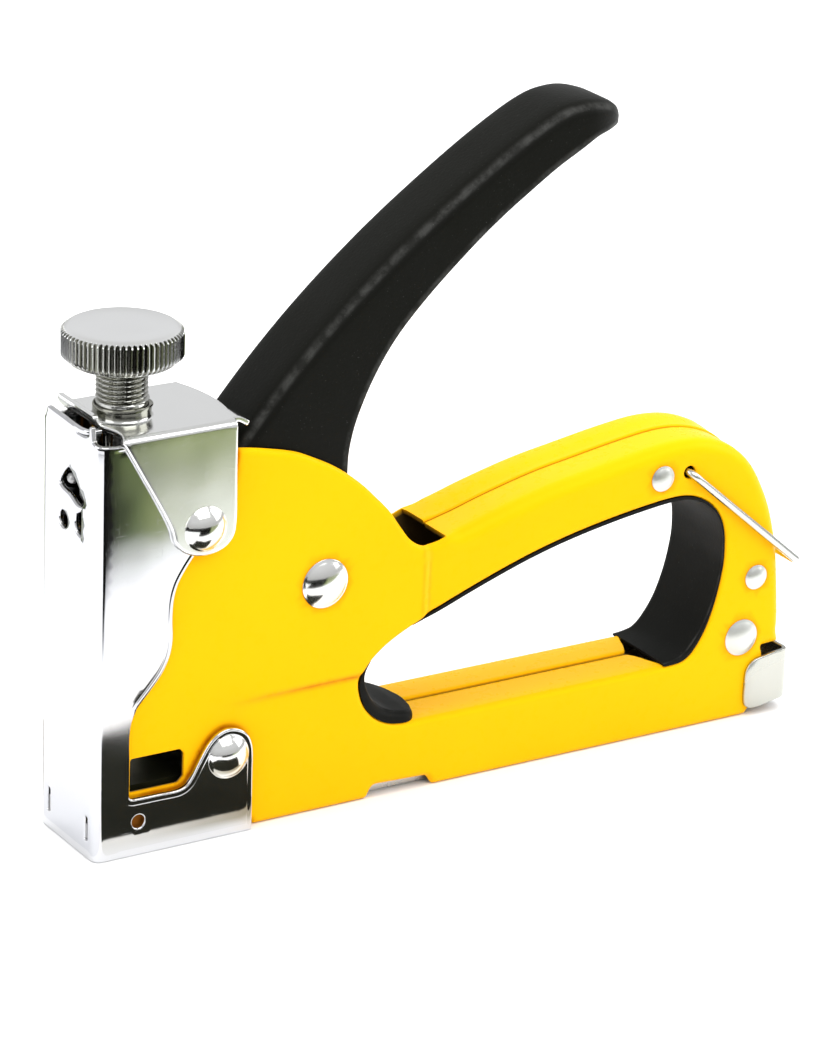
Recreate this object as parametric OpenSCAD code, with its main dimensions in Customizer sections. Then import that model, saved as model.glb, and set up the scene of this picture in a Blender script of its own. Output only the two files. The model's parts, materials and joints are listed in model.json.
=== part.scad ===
// Heavy-duty hand staple gun: chrome nose with a power-adjusting screw,
// two pressed handle shells, a sprung squeeze lever and a rear-loading magazine.
// Units are millimetres.  -X is the nose, +X the handle end, +Z up, and the
// row origin is the centre of the base, midway along the whole tool.

/* [Handle shells] */
// Half width of the shells along the two bars of the finger loop
shell_w = 9.5; // [9.2:0.1:9.8]
// Half width over the raised cheeks around the lever pivot
cheek_w = 10.6; // [10.4:0.1:10.6]
// Sheet thickness of the handle shells
shell_t = 1.2; // [1.0:0.1:1.2]

/* [Nose] */
// Half width of the nose housing over its outer faces
nose_w = 11.9; // [11.9:0.05:12.0]
// Sheet thickness of the nose housing
nose_t = 1.2; // [1.1:0.05:1.2]
// Outer face of the nose, ahead of the screw axis
nose_front = 11.5; // [11.5:0.1:12]
// Height of the nose housing sides
nose_h = 88; // [86:0.5:88.4]
// Outer half width of the top bracket
bracket_w = 13.2; // [13.2:0.1:13.6]

/* [Power adjuster] */
// Diameter of the knurled knob
knob_d = 24; // [22:0.5:24]
// Thickness of the knurled knob
knob_h = 7.2; // [6:0.2:8]
// Outer diameter of the screw thread
screw_d = 10.5; // [10:0.1:10.5]
// Thread pitch, one millimetre of travel a turn
screw_pitch = 1; // [1:0.25:1.5]

/* [Lever] */
// Half width of the plastic lever cover
lever_w = 8; // [7.6:0.1:8.2]
// Wall of the lever cover
cover_t = 1.4; // [1.2:0.1:1.4]
// Diameter of the lever pivot rivet's shank
pivot_d = 7; // [6:0.5:7]

/* [Magazine] */
// Outer half width of the magazine channel
mag_w = 6.9; // [6.9:0.05:7.0]
// Half width of the staple rail that the staples straddle
rail_w = 4.6; // [4.4:0.1:4.6]
// Wire diameter of the locking bail
bail_d = 1.4; // [1.2:0.1:1.6]

/* [Springs] */
// Wire diameter of the mainspring
main_wire = 2; // [1.8:0.1:2.2]
// Number of turns of the mainspring
main_turns = 9; // [7:1:10]

/* [Hidden] */
$fn = 48;
eps = 0.01;

yellow = [0.99, 0.83, 0.08];
chrome = [0.86, 0.87, 0.88];
steel = [0.62, 0.63, 0.65];
black = [0.10, 0.10, 0.10];

// The screw axis stands this far ahead of the row origin
x_mid = 74.2;
module place() translate([-x_mid, 0, 0]) children();

// Side outlines are drawn in (x, z) and given thickness from y0 to y1
module side(y0, y1) translate([0, y1, 0]) rotate([90, 0, 0]) linear_extrude(height = y1 - y0) children();
// A cylinder across the tool, centred on (x, z)
module cross(x, z, r, y0, y1) translate([x, y1, z]) rotate([90, 0, 0]) cylinder(r = r, h = y1 - y0);

pivot = [41, 50.5];
base_z = 1.4;

// ---- Handle shells ------------------------------------------------------

// Whole side outline of one shell, clockwise from the foot of the nose
shell_pts = [[-9, base_z], [25.4, base_z], [26, 0], [53, 0], [54.6, 3], [67.5, 2], [69, 0],
    [148.4, 0], [149.8, 1.4], [150.4, 2.4], [156, 2.8], [156.2, 12.8], [152.4, 12.8], [151.8, 13.4], [151.8, 14.8], [152.4, 15.4], [156.2, 15.4], [156.2, 20], [156, 25],
    [155.4, 32], [154.6, 36], [153.5, 41], [151.4, 47.6], [148.4, 54.4], [146.6, 57.2],
    [144.4, 59.8], [142, 61.8], [139.4, 63.4], [136.6, 64.6], [133.4, 65.4], [130, 65.8],
    [126, 65.6], [117, 64.4], [107, 62.8], [97, 61.2], [84.5, 58.3], [77, 56.2], [71, 54.2],
    [69.4, 54.2], [66.4, 54.8], [63, 57], [56.4, 63.4], [53.4, 66.6], [50, 69.8], [46, 72.8],
    [42.6, 75.2], [39, 77.2], [34, 79.4], [27.8, 81.2], [20.4, 82.6], [10, 84], [-9, 84]];
// Finger loop
loop_pts = [[65.4, 38.2], [77, 42.6], [90.4, 47.2], [100, 49.6], [109.6, 51.4], [118, 52.8],
    [125.2, 53.6], [129, 53.7], [131.5, 53.3], [134, 52.3], [136, 51], [138.2, 48.4], [139.6, 45.8],
    [140.4, 43.2], [140.7, 40], [140.6, 37], [140.2, 33.6], [139.1, 28.8], [137.7, 25.8],
    [135.7, 22.6], [133, 19.4], [129.6, 16.6], [126.6, 15.5], [62.4, 15.5], [59, 15.8], [56, 16.8],
    [53.6, 18.6], [51.8, 21], [50.7, 23.6], [50.5, 26], [51, 28], [52.4, 30], [54.4, 32.2],
    [57.2, 34.4], [60.4, 36.2]];
// Raised cheek around the lever pivot
cheek_pts = [[-9, 28], [49, 28], [50, 30.6], [52, 32.6], [55.6, 35.2], [60, 38], [64, 40.6],
    [65.4, 43], [65.8, 48], [65.4, 55], [63, 57], [56.4, 63.4], [53.4, 66.6], [50, 69.8], [46, 72.8],
    [42.6, 75.2], [39, 77.2], [34, 79.4], [27.8, 81.2], [20.4, 82.6], [10, 84], [-9, 84]];

rivet_a = [123.2, 58.8];
rivet_b = [148.9, 32];
rivet_c = [145.9, 18.6];
bail_pt = [130, 59.1];
ear_pt = [18.6, 17.4];
brk_pt = [11.8, 68];

module shell_half() {
    difference() {
        union() {
            side(-shell_w, -0.05) polygon(shell_pts);
            side(-cheek_w, -shell_w + 0.3) polygon(cheek_pts);
        }
        // finger loop
        side(-20, 1) polygon(loop_pts);
        // hollow inside, which leaves the sheet and its turned-in flanges
        side(-shell_w + shell_t, 1) difference() {
            offset(delta = -shell_t) polygon(shell_pts);
            offset(delta = shell_t) polygon(loop_pts);
        }
        side(-cheek_w + shell_t, 1) offset(delta = -shell_t) polygon(cheek_pts);
        // open front, open underside for the magazine, open top for the lever
        side(-shell_w + shell_t, 1) polygon([[-12, -2], [160, -2], [160, 13.4], [14, 13.4], [14, 40], [-12, 40]]);
        side(-cheek_w + shell_t, 1) polygon([[-12, 26], [12, 30], [12, 60], [40, 60], [58, 52], [69, 52.4],
            [71.4, 55.6], [71, 95], [-12, 95]]);
        // opening above the foot of the nose
        side(-20, 1) polygon([[-2.6, 13], [8.4, 13], [9.6, 14.2], [9.6, 19.4], [8.6, 20.4], [-2.6, 20.4]]);
        // rivet holes
        cross(pivot[0], pivot[1], pivot_d/2, -20, 1);
        cross(rivet_a[0], rivet_a[1], 1.6, -20, 1);
        cross(rivet_b[0], rivet_b[1], 1.6, -20, 1);
        cross(rivet_c[0], rivet_c[1], 2.4, -20, 1);
        cross(ear_pt[0], ear_pt[1], 2.2, -20, 1);
        cross(brk_pt[0], brk_pt[1], 2.4, -20, 1);
        cross(bail_pt[0], bail_pt[1], 1.4, -20, 1);
    }
}
module left_shell() color(yellow) place() shell_half();
module right_shell() color(yellow) place() mirror([0, 1, 0]) shell_half();

// ---- Nose ---------------------------------------------------------------

// Plan of the nose with its rounded front corners
module nose_plan(w, front, r) {
    translate([-front + r, -w]) square([front - r + 40, 2*w]);
    translate([-front, -w + r]) square([front + 40, 2*(w - r)]);
    for (s = [-1, 1]) translate([-front + r, s*(w - r)]) circle(r = r);
}
module nose_block(w, front, lo, rf)
    translate([0, 0, lo]) linear_extrude(height = nose_h + 6) nose_plan(w, front, rf);
// Side outline of the nose: one cut edge down the cheek, a notch, and the riveted ear
nose_pts = [[-14, -1], [24.6, -1], [24.6, 18.4], [24.2, 20.2], [23, 22], [21.2, 23.2], [19, 23.5],
    [16.8, 23], [15, 21.8], [13.8, 20.2], [10.2, 14.2], [9.4, 13], [8, 12.4], [-1, 12.5], [-2.6, 12.8],
    [-3.7, 14], [-3.8, 27], [-3.4, 29.4], [-2.2, 31.8], [0.6, 35], [3.4, 38.4], [5, 41.6], [5.7, 45],
    [5.6, 50], [5.9, 54], [6.8, 57], [8.6, 60], [10.4, 62.4], [13, 66], [15, 71], [16, 78], [16, nose_h],
    [-14, nose_h]];
module nose_housing() color(chrome) place() {
    difference() {
        intersection() {
            difference() {
                nose_block(nose_w, nose_front, 0, 2);
                nose_block(nose_w - nose_t, nose_front - nose_t, -1, 0.8);
            }
            union() {
                side(-20, 20) polygon(nose_pts);
                // the front sheet stands above the sides
                translate([-nose_front - 1, -8.6, 80]) cube([1 + nose_t, 18.2, 10.5]);
            }
        }
        // pressed openings of the front face
        translate([-20, 0, 0]) rotate([90, 0, 90]) linear_extrude(height = 10.4)
            polygon([[4.4, 76.2], [2, 79.6], [0.2, 80.4], [-2, 79], [-5, 76.6], [-6, 75.2], [-5, 74], [-3, 73.8], [0, 75], [3.2, 75.6]]);
        translate([-20, 0, 0]) rotate([90, 0, 90]) linear_extrude(height = 10.4)
            polygon([[-2.6, 71.6], [-4.8, 73], [-4.8, 67.6], [-3.2, 68.4], [-2.4, 70]]);
        translate([-20, 2.4, 69]) rotate([0, 90, 0]) cylinder(r = 1.8, h = 10.4);
        for (s = [-1, 1]) translate([-20, s*8 - 0.55, 4]) cube([12, 1.1, 5]);
        // holes of the ears
        cross(-1.6, 7.4, 1.4, -20, 20);
        cross(ear_pt[0], ear_pt[1], 2.2, -20, 20);
        cross(brk_pt[0], brk_pt[1], 2.4, -20, 20);
    }
}

// Saddle over the nose that carries the tapped collar
brk_side = [[-6.8, 92], [-6.8, 88.6], [4.6, 68.8], [5, 66.2], [6.4, 64.2], [8.6, 62.9], [11.8, 62.5],
    [15, 62.8], [17.2, 63.8], [18.5, 65.4], [18.9, 67.6], [18.9, 87], [21, 88.4], [21, 92]];
module bracket_section(w, top, r) {
    translate([-w, 40]) square([2*w, top - r - 40]);
    translate([-w + r, 40]) square([2*(w - r), top - 40]);
    for (s = [-1, 1]) translate([s*(w - r), top - r]) circle(r = r);
}
module top_bracket() color(chrome) place() {
    difference() {
        union() {
            intersection() {
                translate([-10, 0, 0]) rotate([90, 0, 90]) linear_extrude(height = 40) difference() {
                    bracket_section(bracket_w, 89.8, 2.2);
                    bracket_section(bracket_w - 1.2, 88.6, 1);
                }
                side(-20, 20) polygon(brk_side);
                // plan of the top: bowed rear edge and a cut front corner on the left
                translate([0, 0, 40]) linear_extrude(height = 60)
                    polygon([[-6.8, 20], [-6.8, -3.2], [-5.4, -9], [-6.2, -12.4], [-7.2, -20], [18.9, -20], [18.9, -12], [20.2, -8],
                        [21, -3], [21, 3], [20.2, 8], [18.9, 12], [18.9, 20]]);
            }
            // collar round the screw
            translate([0, 0, 88.6]) cylinder(r = 6.6, h = 2.6);
            // stiffening lip along the front edge
            translate([-7.6, -3, 88.6]) cube([1.2, 15, 2.9]);
            // small turned-down lip at the rear
            side(-11.5, -5) polygon([[19, 88.6], [19, 89.8], [20.4, 89.7], [22.8, 88.3], [22.3, 87.4], [20.2, 88.6]]);
        }
        translate([0, 0, 80]) cylinder(d = screw_d + 0.2, h = 20);
        cross(brk_pt[0], brk_pt[1], 2.4, -20, 20);
    }
}

// Plate behind the driver, with two wings that come through the front of the nose
module guide_plate() color(steel) place() {
    difference() {
        translate([-8.9, -8.1, 0.6]) cube([1, 16.2, 20]);
        translate([-10, -5.9, -1]) cube([3, 11.8, 14.6]);
    }
    for (s = [-1, 1]) translate([-11.2, s*7.8 - 0.3, 4.2]) cube([2.4, 0.6, 3.2]);
}

module bumper() color(black) place() {
    difference() {
        translate([-8.6, -8.2, 21.6]) cube([16.8, 16.4, 6]);
        translate([0, 0, 20]) cylinder(r = 3, h = 10);
    }
}

// ---- Power spring, plunger and adjuster ----------------------------------

// A coil along Z: mean radius cr, wire radius wr, from z0 to z1 at wire centre
module coil(cr, wr, z0, z1, turns, seg, sides) {
    n = floor(turns*seg);
    pts = [for (i = [0:n]) let (a = 360*i/seg, z = z0 + (z1 - z0)*i/n)
        for (j = [0:sides-1]) let (b = 360*j/sides)
            [(cr + wr*cos(b))*cos(a), (cr + wr*cos(b))*sin(a), z + wr*sin(b)]];
    faces = concat([[for (j = [sides-1:-1:0]) j]],
        [for (i = [0:n-1]) for (j = [0:sides-1]) let (k = (j + 1) % sides)
            [i*sides + k, (i + 1)*sides + k, (i + 1)*sides + j, i*sides + j]],
        [[for (j = [0:sides-1]) n*sides + j]]);
    polyhedron(points = pts, faces = faces, convexity = 10);
}
module mainspring() color(steel) place()
    coil(6.4, main_wire/2, 31.1 + main_wire/2, 75.9 - main_wire/2, main_turns, 16, 8);

module plunger() color(steel) place() {
    difference() {
        union() {
            translate([0, 0, 28]) cylinder(r = 8.2, h = 32);
            // pad that the driver is hooked to
            translate([-9.2, -6, 34]) cube([4, 12, 12]);
            // catch lifted by the claw
            translate([6, -4, 47.6]) cube([11, 8, 3.2]);
        }
        translate([0, 0, 31]) cylinder(r = 7.6, h = 40);
    }
}
module driver_blade() color(steel) place()
    difference() {
        translate([-10.15, -5.65, 1.6]) cube([0.95, 11.3, 44]);
        translate([-12, 0, 41]) rotate([0, 90, 0]) cylinder(r = 2, h = 2.7);
    }

module spring_seat() color(steel) place() {
    difference() {
        union() {
            translate([0, 0, 76]) cylinder(r = 7.2, h = 2);
            translate([0, 0, 73.4]) cylinder(r = 5, h = 3);
        }
        translate([0, 0, 77]) cylinder(r = 5.3, h = 3);
    }
}
module adjuster_screw() color(chrome) place() {
    translate([0, 0, 77]) cylinder(d = screw_d, h = 25);
    rotate_extrude($fn = 96) polygon([[0, 101], [8.6, 101], [knob_d/2 - 0.7, 102], [knob_d/2, 102.8],
        [knob_d/2, 101 + knob_h - 1.6], [knob_d/2 - 1.4, 101 + knob_h], [0, 101 + knob_h]]);
}

// ---- Lever ----------------------------------------------------------------

// Outer side outline of the plastic cover
cover_pts = [[20.6, 80.8], [25.4, 86.4], [34, 96], [44, 105.7], [57.2, 116.8], [70.7, 126.7], [84, 135.4],
    [93.6, 140.7], [97.9, 142.3], [103.4, 142.5], [108, 141.4], [111.6, 139.8], [113.4, 138.2], [113.6, 136.8],
    [112.2, 135.8], [108, 135.4], [104.5, 135], [100.8, 132.9], [95.2, 130], [88.4, 125.4], [81.6, 120.7], [75, 115.7],
    [65, 106.6], [58.4, 99.6], [54.4, 94], [51.3, 88.3], [48.8, 81.8], [47.6, 76.4], [47.4, 71],
    [38, 66], [27, 70]];
// Steel core inside the cover, down to the pivot
core_pts = [[24.6, 80], [27.6, 86.2], [36, 95.4], [45.6, 104.4], [58.4, 115.2], [71.6, 124.8], [84.6, 133.2],
    [94, 138.4], [98, 139.8], [102, 139.6], [103, 136.4], [100, 134.2], [94, 131.2], [87.4, 126.8],
    [74, 116.8], [63.8, 107.6], [57.2, 100.4], [53, 94.6], [49.8, 88.6], [47.4, 82], [46.2, 76.4],
    [46.2, 70], [48.4, 60], [49.4, 50.5], [48, 45.4], [44.6, 42.4], [41, 41.6], [36.4, 42.6], [33.4, 46],
    [30, 56], [26.6, 68]];
module lever_cover() color(black) place() {
    difference() {
        intersection() {
            side(-lever_w, lever_w) polygon(cover_pts);
            // rounded tip
            linear_extrude(height = 150) polygon([[0, -9], [0, 9], [103, 9], [103, 8], [107, 7.4], [110, 5.8],
                [112.4, 3.2], [113.6, 0], [112.4, -3.2], [110, -5.8], [107, -7.4], [103, -8], [103, -9]]);
        }
        side(-lever_w + cover_t, lever_w - cover_t) polygon([[21, 60], [24.4, 80], [27.4, 86.4], [35.8, 95.6],
            [45.4, 104.6], [58.2, 115.4], [71.4, 125], [84.4, 133.4], [94, 138.6], [98, 140.2], [102.6, 139.8],
            [104, 137.6], [112, 128], [60, 60]]);
    }
}
module lever_core() color(steel) place() {
    difference() {
        side(-6.5, 6.5) polygon(core_pts);
        side(-5, 5) polygon([[24, 66], [26.4, 79], [29.2, 85.4], [37.4, 94.4], [46.8, 103.2], [59.4, 113.8],
            [72.4, 123.2], [85.2, 131.4], [94.6, 136.6], [98, 137.8], [106, 134], [112, 100], [60, 40], [24, 36]]);
        cross(pivot[0], pivot[1], pivot_d/2 + 0.08, -20, 20);
        cross(pivot[0] - 4.4, pivot[1] + 10, 1.5, -20, 20);
    }
}
// Forged claw between the cheeks of the core: hub on the pivot, tip under the plunger catch
claw_c = [15.4, 45.8];
module lifter_claw() color(steel) place() {
    difference() {
        union() {
            cross(pivot[0], pivot[1], 7, -3.4, 3.4);
            side(-3.4, 3.4) polygon([[34.6, 47], [24, 43.4], [15.4, 44.6], [15.6, 46.9], [24, 47], [31, 51],
                [33, 63], [39.6, 63], [44, 56]]);
            cross(claw_c[0], claw_c[1], 1.2, -3.4, 3.4);
        }
        cross(pivot[0], pivot[1], pivot_d/2 + 0.08, -20, 20);
        cross(pivot[0] - 4.4, pivot[1] + 10, 1.5, -20, 20);
    }
}
module claw_pin() color(steel) place() cross(pivot[0] - 4.4, pivot[1] + 10, 1.5, -6.5, 6.5);
// Torsion spring round the pivot: a coil beside the core with one long leg
module return_spring() color(steel) place()
    translate([pivot[0], -8.8, pivot[1]]) {
        rotate([-90, 0, 0]) coil(4.8, 0.4, 0, 1.7, 1.75, 16, 8);
        translate([4.8, 0, -9.6]) cylinder(r = 0.34, h = 9.9);
    }

// ---- Rivets -----------------------------------------------------------------

// Domed head of radius r and height h, standing out from y along -Y
module dome(x, z, y, r, h) {
    big = (r*r + h*h)/(2*h);
    intersection() {
        translate([x, y - h + big, z]) sphere(r = big, $fn = 64);
        cross(x, z, r + 1, y - h - 1, y);
    }
}
module rivet(x, z, shank, y, r, h) {
    cross(x, z, shank, -y, y);
    dome(x, z, -y, r, h);
    mirror([0, 1, 0]) dome(x, z, -y, r, h);
}
module pivot_rivet() color(chrome) place() rivet(pivot[0], pivot[1], pivot_d/2, cheek_w, 4.9, 1.6);
module ear_rivet() color(chrome) place() rivet(ear_pt[0], ear_pt[1], 2.2, nose_w, 4.2, 2);
module bracket_rivets() color(chrome) place()
    for (s = [0, 1]) mirror([0, s, 0]) {
        cross(brk_pt[0], brk_pt[1], 2.4, -bracket_w, -9);
        dome(brk_pt[0], brk_pt[1], -bracket_w, 4.3, 2.1);
        cross(brk_pt[0], brk_pt[1], 3.4, -9.39, -8.4);
    }
module rear_rivets() color(chrome) place() {
    rivet(rivet_a[0], rivet_a[1], 1.6, shell_w, 2.5, 0.8);
    rivet(rivet_b[0], rivet_b[1], 1.6, shell_w, 2.4, 0.8);
    rivet(rivet_c[0], rivet_c[1], 2.4, shell_w, 3.7, 1.1);
}

// ---- Magazine -----------------------------------------------------------------

module magazine_channel() color(chrome) place() {
    difference() {
        translate([-7.7, -mag_w, 0.2]) cube([154.7, 2*mag_w, 13]);
        translate([-9, -mag_w + 1, -1]) cube([160, 2*mag_w - 2, 13.2]);
    }
}
module staple_rail() color(steel) place() {
    difference() {
        translate([-7.5, -rail_w, 3.5]) cube([165.1, 2*rail_w, 7.9]);
        translate([-9, -rail_w + 0.8, 2]) cube([170, 2*rail_w - 1.6, 8.6]);
    }
}
module pusher_rod() color(steel) place() translate([-6.5, 0, 6.9]) rotate([0, 90, 0]) cylinder(r = 1.2, h = 164.1);
module pusher() color(steel) place() {
    difference() {
        translate([-7, -5.7, 1.6]) cube([10, 11.4, 10.4]);
        // clearance round the rail
        difference() {
            translate([-9, -rail_w - 0.12, 3.36]) cube([20, 2*rail_w + 0.24, 8.16]);
            translate([-10, -rail_w + 0.92, 2]) cube([22, 2*rail_w - 1.84, 8.5]);
        }
        translate([-9, 0, 6.9]) rotate([0, 90, 0]) cylinder(r = 1.3, h = 20);
    }
}
module pusher_spring() color(steel) place()
    translate([3.2, 0, 6.9]) rotate([0, 90, 0]) difference() {
        cylinder(r = 2.6, h = 153.9);
        translate([0, 0, -1]) cylinder(r = 1.4, h = 160);
    }
// Folded cap that closes the rear of the magazine
clip_pts = [[147.2, 3.2], [147.2, 10.8], [147.8, 11.8], [149.4, 13.1], [151, 13.6], [157.6, 14.4], [158.6, 13.4],
    [158.6, 3.6], [157.2, 2.8], [152.8, 2], [149.6, 1.5], [148, 1.9]];
module end_clip() color(chrome) place() {
    intersection() {
        side(-20, 20) polygon(clip_pts);
        difference() {
            linear_extrude(height = 30) {
                translate([140, -10.6]) square([16.2, 21.2]);
                translate([140, -8.2]) square([18.6, 16.4]);
                for (s = [-1, 1]) translate([156.2, s*8.2]) circle(r = 2.4);
            }
            translate([0, 0, -1]) linear_extrude(height = 40) {
                translate([130, -9.7]) square([26.1, 19.4]);
                translate([130, -8.2]) square([27.6, 16.4]);
                for (s = [-1, 1]) translate([156.1, s*8.2]) circle(r = 1.5);
            }
        }
    }
}

// ---- Loop liner and locking bail ---------------------------------------------

liner_in = [[66.2, 37], [77.4, 41.3], [90.8, 45.9], [100.2, 48.3], [109.8, 50.1], [118, 51.5],
    [125.2, 52.3], [129, 52.4], [131.2, 52], [133.4, 51.1], [135.1, 50], [137.1, 47.6], [138.4, 45.3],
    [139.1, 43], [139.4, 40], [139.3, 37.1], [138.9, 33.8], [137.8, 29.3], [136.5, 26.4], [134.6, 23.4],
    [132, 20.3], [128.8, 17.7], [127.2, 17.2], [127.2, 14], [62.4, 14], [62.4, 16.8], [59.6, 17.1],
    [56.8, 17.9], [54.6, 19.5], [53, 21.5], [52, 23.9], [51.8, 25.8], [52.2, 27.4], [53.4, 29.2],
    [55.2, 31.2], [57.8, 33.2], [60.9, 35]];
module loop_liner() color(black) place() side(-9.3, 9.3) difference() {
    polygon([for (p = loop_pts) p]);
    polygon(liner_in);
    translate([62.6, 10]) square([64.4, 7]);
}

// U-shaped wire bail: hooked ends in the shell holes, legs down both sides, bar behind the handle
bail_len = 38.2;
bail_tilt = 39;
bail_y = 10.5;
module bail_half() {
    r = bail_d/2;
    b = 2.2;
    // hooked end
    cross(0, 0, r, -bail_y + b, -6.5);
    translate([b, -bail_y + b, 0]) rotate([0, 0, 180]) rotate_extrude(angle = 90) translate([b, 0]) circle(r = r, $fn = 24);
    // leg
    translate([b - eps, -bail_y, 0]) rotate([0, 90, 0]) cylinder(r = r, h = bail_len - 2*b + 2*eps);
    // corner and half of the cross bar
    translate([bail_len - b, -bail_y + b, 0]) rotate([0, 0, -90]) rotate_extrude(angle = 90) translate([b, 0]) circle(r = r, $fn = 24);
    translate([bail_len, eps, 0]) rotate([90, 0, 0]) cylinder(r = r, h = bail_y - b + 2*eps);
}
module wire_latch() color(chrome) place() translate([bail_pt[0], 0, bail_pt[1]]) rotate([0, bail_tilt, 0]) {
    bail_half();
    mirror([0, 1, 0]) bail_half();
}

left_shell();
right_shell();
nose_housing();
top_bracket();
guide_plate();
bumper();
magazine_channel();
loop_liner();
pivot_rivet();
ear_rivet();
bracket_rivets();
rear_rivets();
mainspring();
return_spring();
lever_core();
lever_cover();
lifter_claw();
claw_pin();
plunger();
driver_blade();
spring_seat();
adjuster_screw();
staple_rail();
end_clip();
pusher_rod();
pusher();
pusher_spring();
wire_latch();
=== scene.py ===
import json
import math

import bpy
import numpy as np
from mathutils import Matrix, Vector
from mathutils.geometry import delaunay_2d_cdt


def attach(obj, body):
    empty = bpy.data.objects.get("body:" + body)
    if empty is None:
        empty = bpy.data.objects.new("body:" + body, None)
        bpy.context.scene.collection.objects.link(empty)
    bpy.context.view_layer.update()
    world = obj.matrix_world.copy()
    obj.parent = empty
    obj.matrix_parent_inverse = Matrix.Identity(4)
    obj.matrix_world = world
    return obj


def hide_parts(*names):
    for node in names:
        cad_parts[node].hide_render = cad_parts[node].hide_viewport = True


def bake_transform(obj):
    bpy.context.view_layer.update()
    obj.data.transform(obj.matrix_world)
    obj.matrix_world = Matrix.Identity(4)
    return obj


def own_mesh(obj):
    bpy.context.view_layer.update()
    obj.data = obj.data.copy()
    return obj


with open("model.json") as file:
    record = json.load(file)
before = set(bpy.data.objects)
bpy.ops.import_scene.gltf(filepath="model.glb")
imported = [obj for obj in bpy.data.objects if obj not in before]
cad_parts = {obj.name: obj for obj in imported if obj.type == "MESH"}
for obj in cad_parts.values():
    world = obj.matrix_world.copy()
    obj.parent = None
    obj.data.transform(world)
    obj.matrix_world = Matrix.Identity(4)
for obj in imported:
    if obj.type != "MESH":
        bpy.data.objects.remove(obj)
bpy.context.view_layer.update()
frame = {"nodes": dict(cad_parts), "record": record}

nodes = frame["nodes"]
MID = 74.2          # the screw axis stands this far ahead of the row origin, mm


# ---------------------------------------------------------------------------
# Mesh helpers.  Shapes are worked out in millimetres with the screw axis at
# x = 0, y = 0 and the base at z = 0, and are placed in the row frame, in metres.
# ---------------------------------------------------------------------------

def to_row(p):
    return (np.asarray(p, float) - np.array([MID, 0.0, 0.0])) / 1000.0


def build(name, verts, faces, material, body, replaces=(), sharp=38, attrs=None, smooth=True):
    me = bpy.data.meshes.new(name)
    me.from_pydata(to_row(verts).tolist(), [], [list(map(int, f)) for f in faces])
    me.update()
    for key, values in (attrs or {}).items():
        a = me.attributes.new(key, "FLOAT", "POINT")
        a.data.foreach_set("value", np.asarray(values, np.float32))
    if smooth:
        me.polygons.foreach_set("use_smooth", [True] * len(me.polygons))
        me.set_sharp_from_angle(angle=math.radians(sharp))
    me.materials.append(material)
    o = bpy.data.objects.new(name, me)
    bpy.context.scene.collection.objects.link(o)
    if body:
        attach(o, body)
    if replaces:
        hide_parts(*replaces)
    return o


def spline_run(run, ds):
    """A smooth open curve through points (centripetal Catmull-Rom), or a straight line for two."""
    p = np.array(run, float)
    if len(p) == 2:
        n = max(1, int(math.ceil(np.linalg.norm(p[1] - p[0]) / ds)))
        return [p[0] + (p[1] - p[0]) * i / n for i in range(n + 1)]
    p = np.vstack([2 * p[0] - p[1], p, 2 * p[-1] - p[-2]])
    out = []
    for i in range(1, len(p) - 2):
        out += catmull(p[i - 1], p[i], p[i + 1], p[i + 2], ds)
    out.append(p[-2])
    return out


def catmull(p0, p1, p2, p3, ds):
    t0 = 0.0
    t1 = t0 + max(np.linalg.norm(p1 - p0), 1e-6) ** 0.5
    t2 = t1 + max(np.linalg.norm(p2 - p1), 1e-6) ** 0.5
    t3 = t2 + max(np.linalg.norm(p3 - p2), 1e-6) ** 0.5
    n = max(1, int(math.ceil(np.linalg.norm(p2 - p1) / ds)))
    out = []
    for i in range(n):
        t = t1 + (t2 - t1) * i / n
        a1 = (t1 - t) / (t1 - t0) * p0 + (t - t0) / (t1 - t0) * p1
        a2 = (t2 - t) / (t2 - t1) * p1 + (t - t1) / (t2 - t1) * p2
        a3 = (t3 - t) / (t3 - t2) * p2 + (t - t2) / (t3 - t2) * p3
        b1 = (t2 - t) / (t2 - t0) * a1 + (t - t0) / (t2 - t0) * a2
        b2 = (t3 - t) / (t3 - t1) * a2 + (t - t1) / (t3 - t1) * a3
        out.append((t2 - t) / (t2 - t1) * b1 + (t - t1) / (t2 - t1) * b2)
    return out


def trim(run, t):
    """Cuts length t off the start of a polyline."""
    run = list(run)
    while len(run) > 2 and np.linalg.norm(run[1] - run[0]) <= t:
        t -= np.linalg.norm(run[1] - run[0])
        run.pop(0)
    d = np.linalg.norm(run[1] - run[0])
    run[0] = run[0] + (run[1] - run[0]) * min(0.9, t / max(d, 1e-9))
    return run


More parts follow.
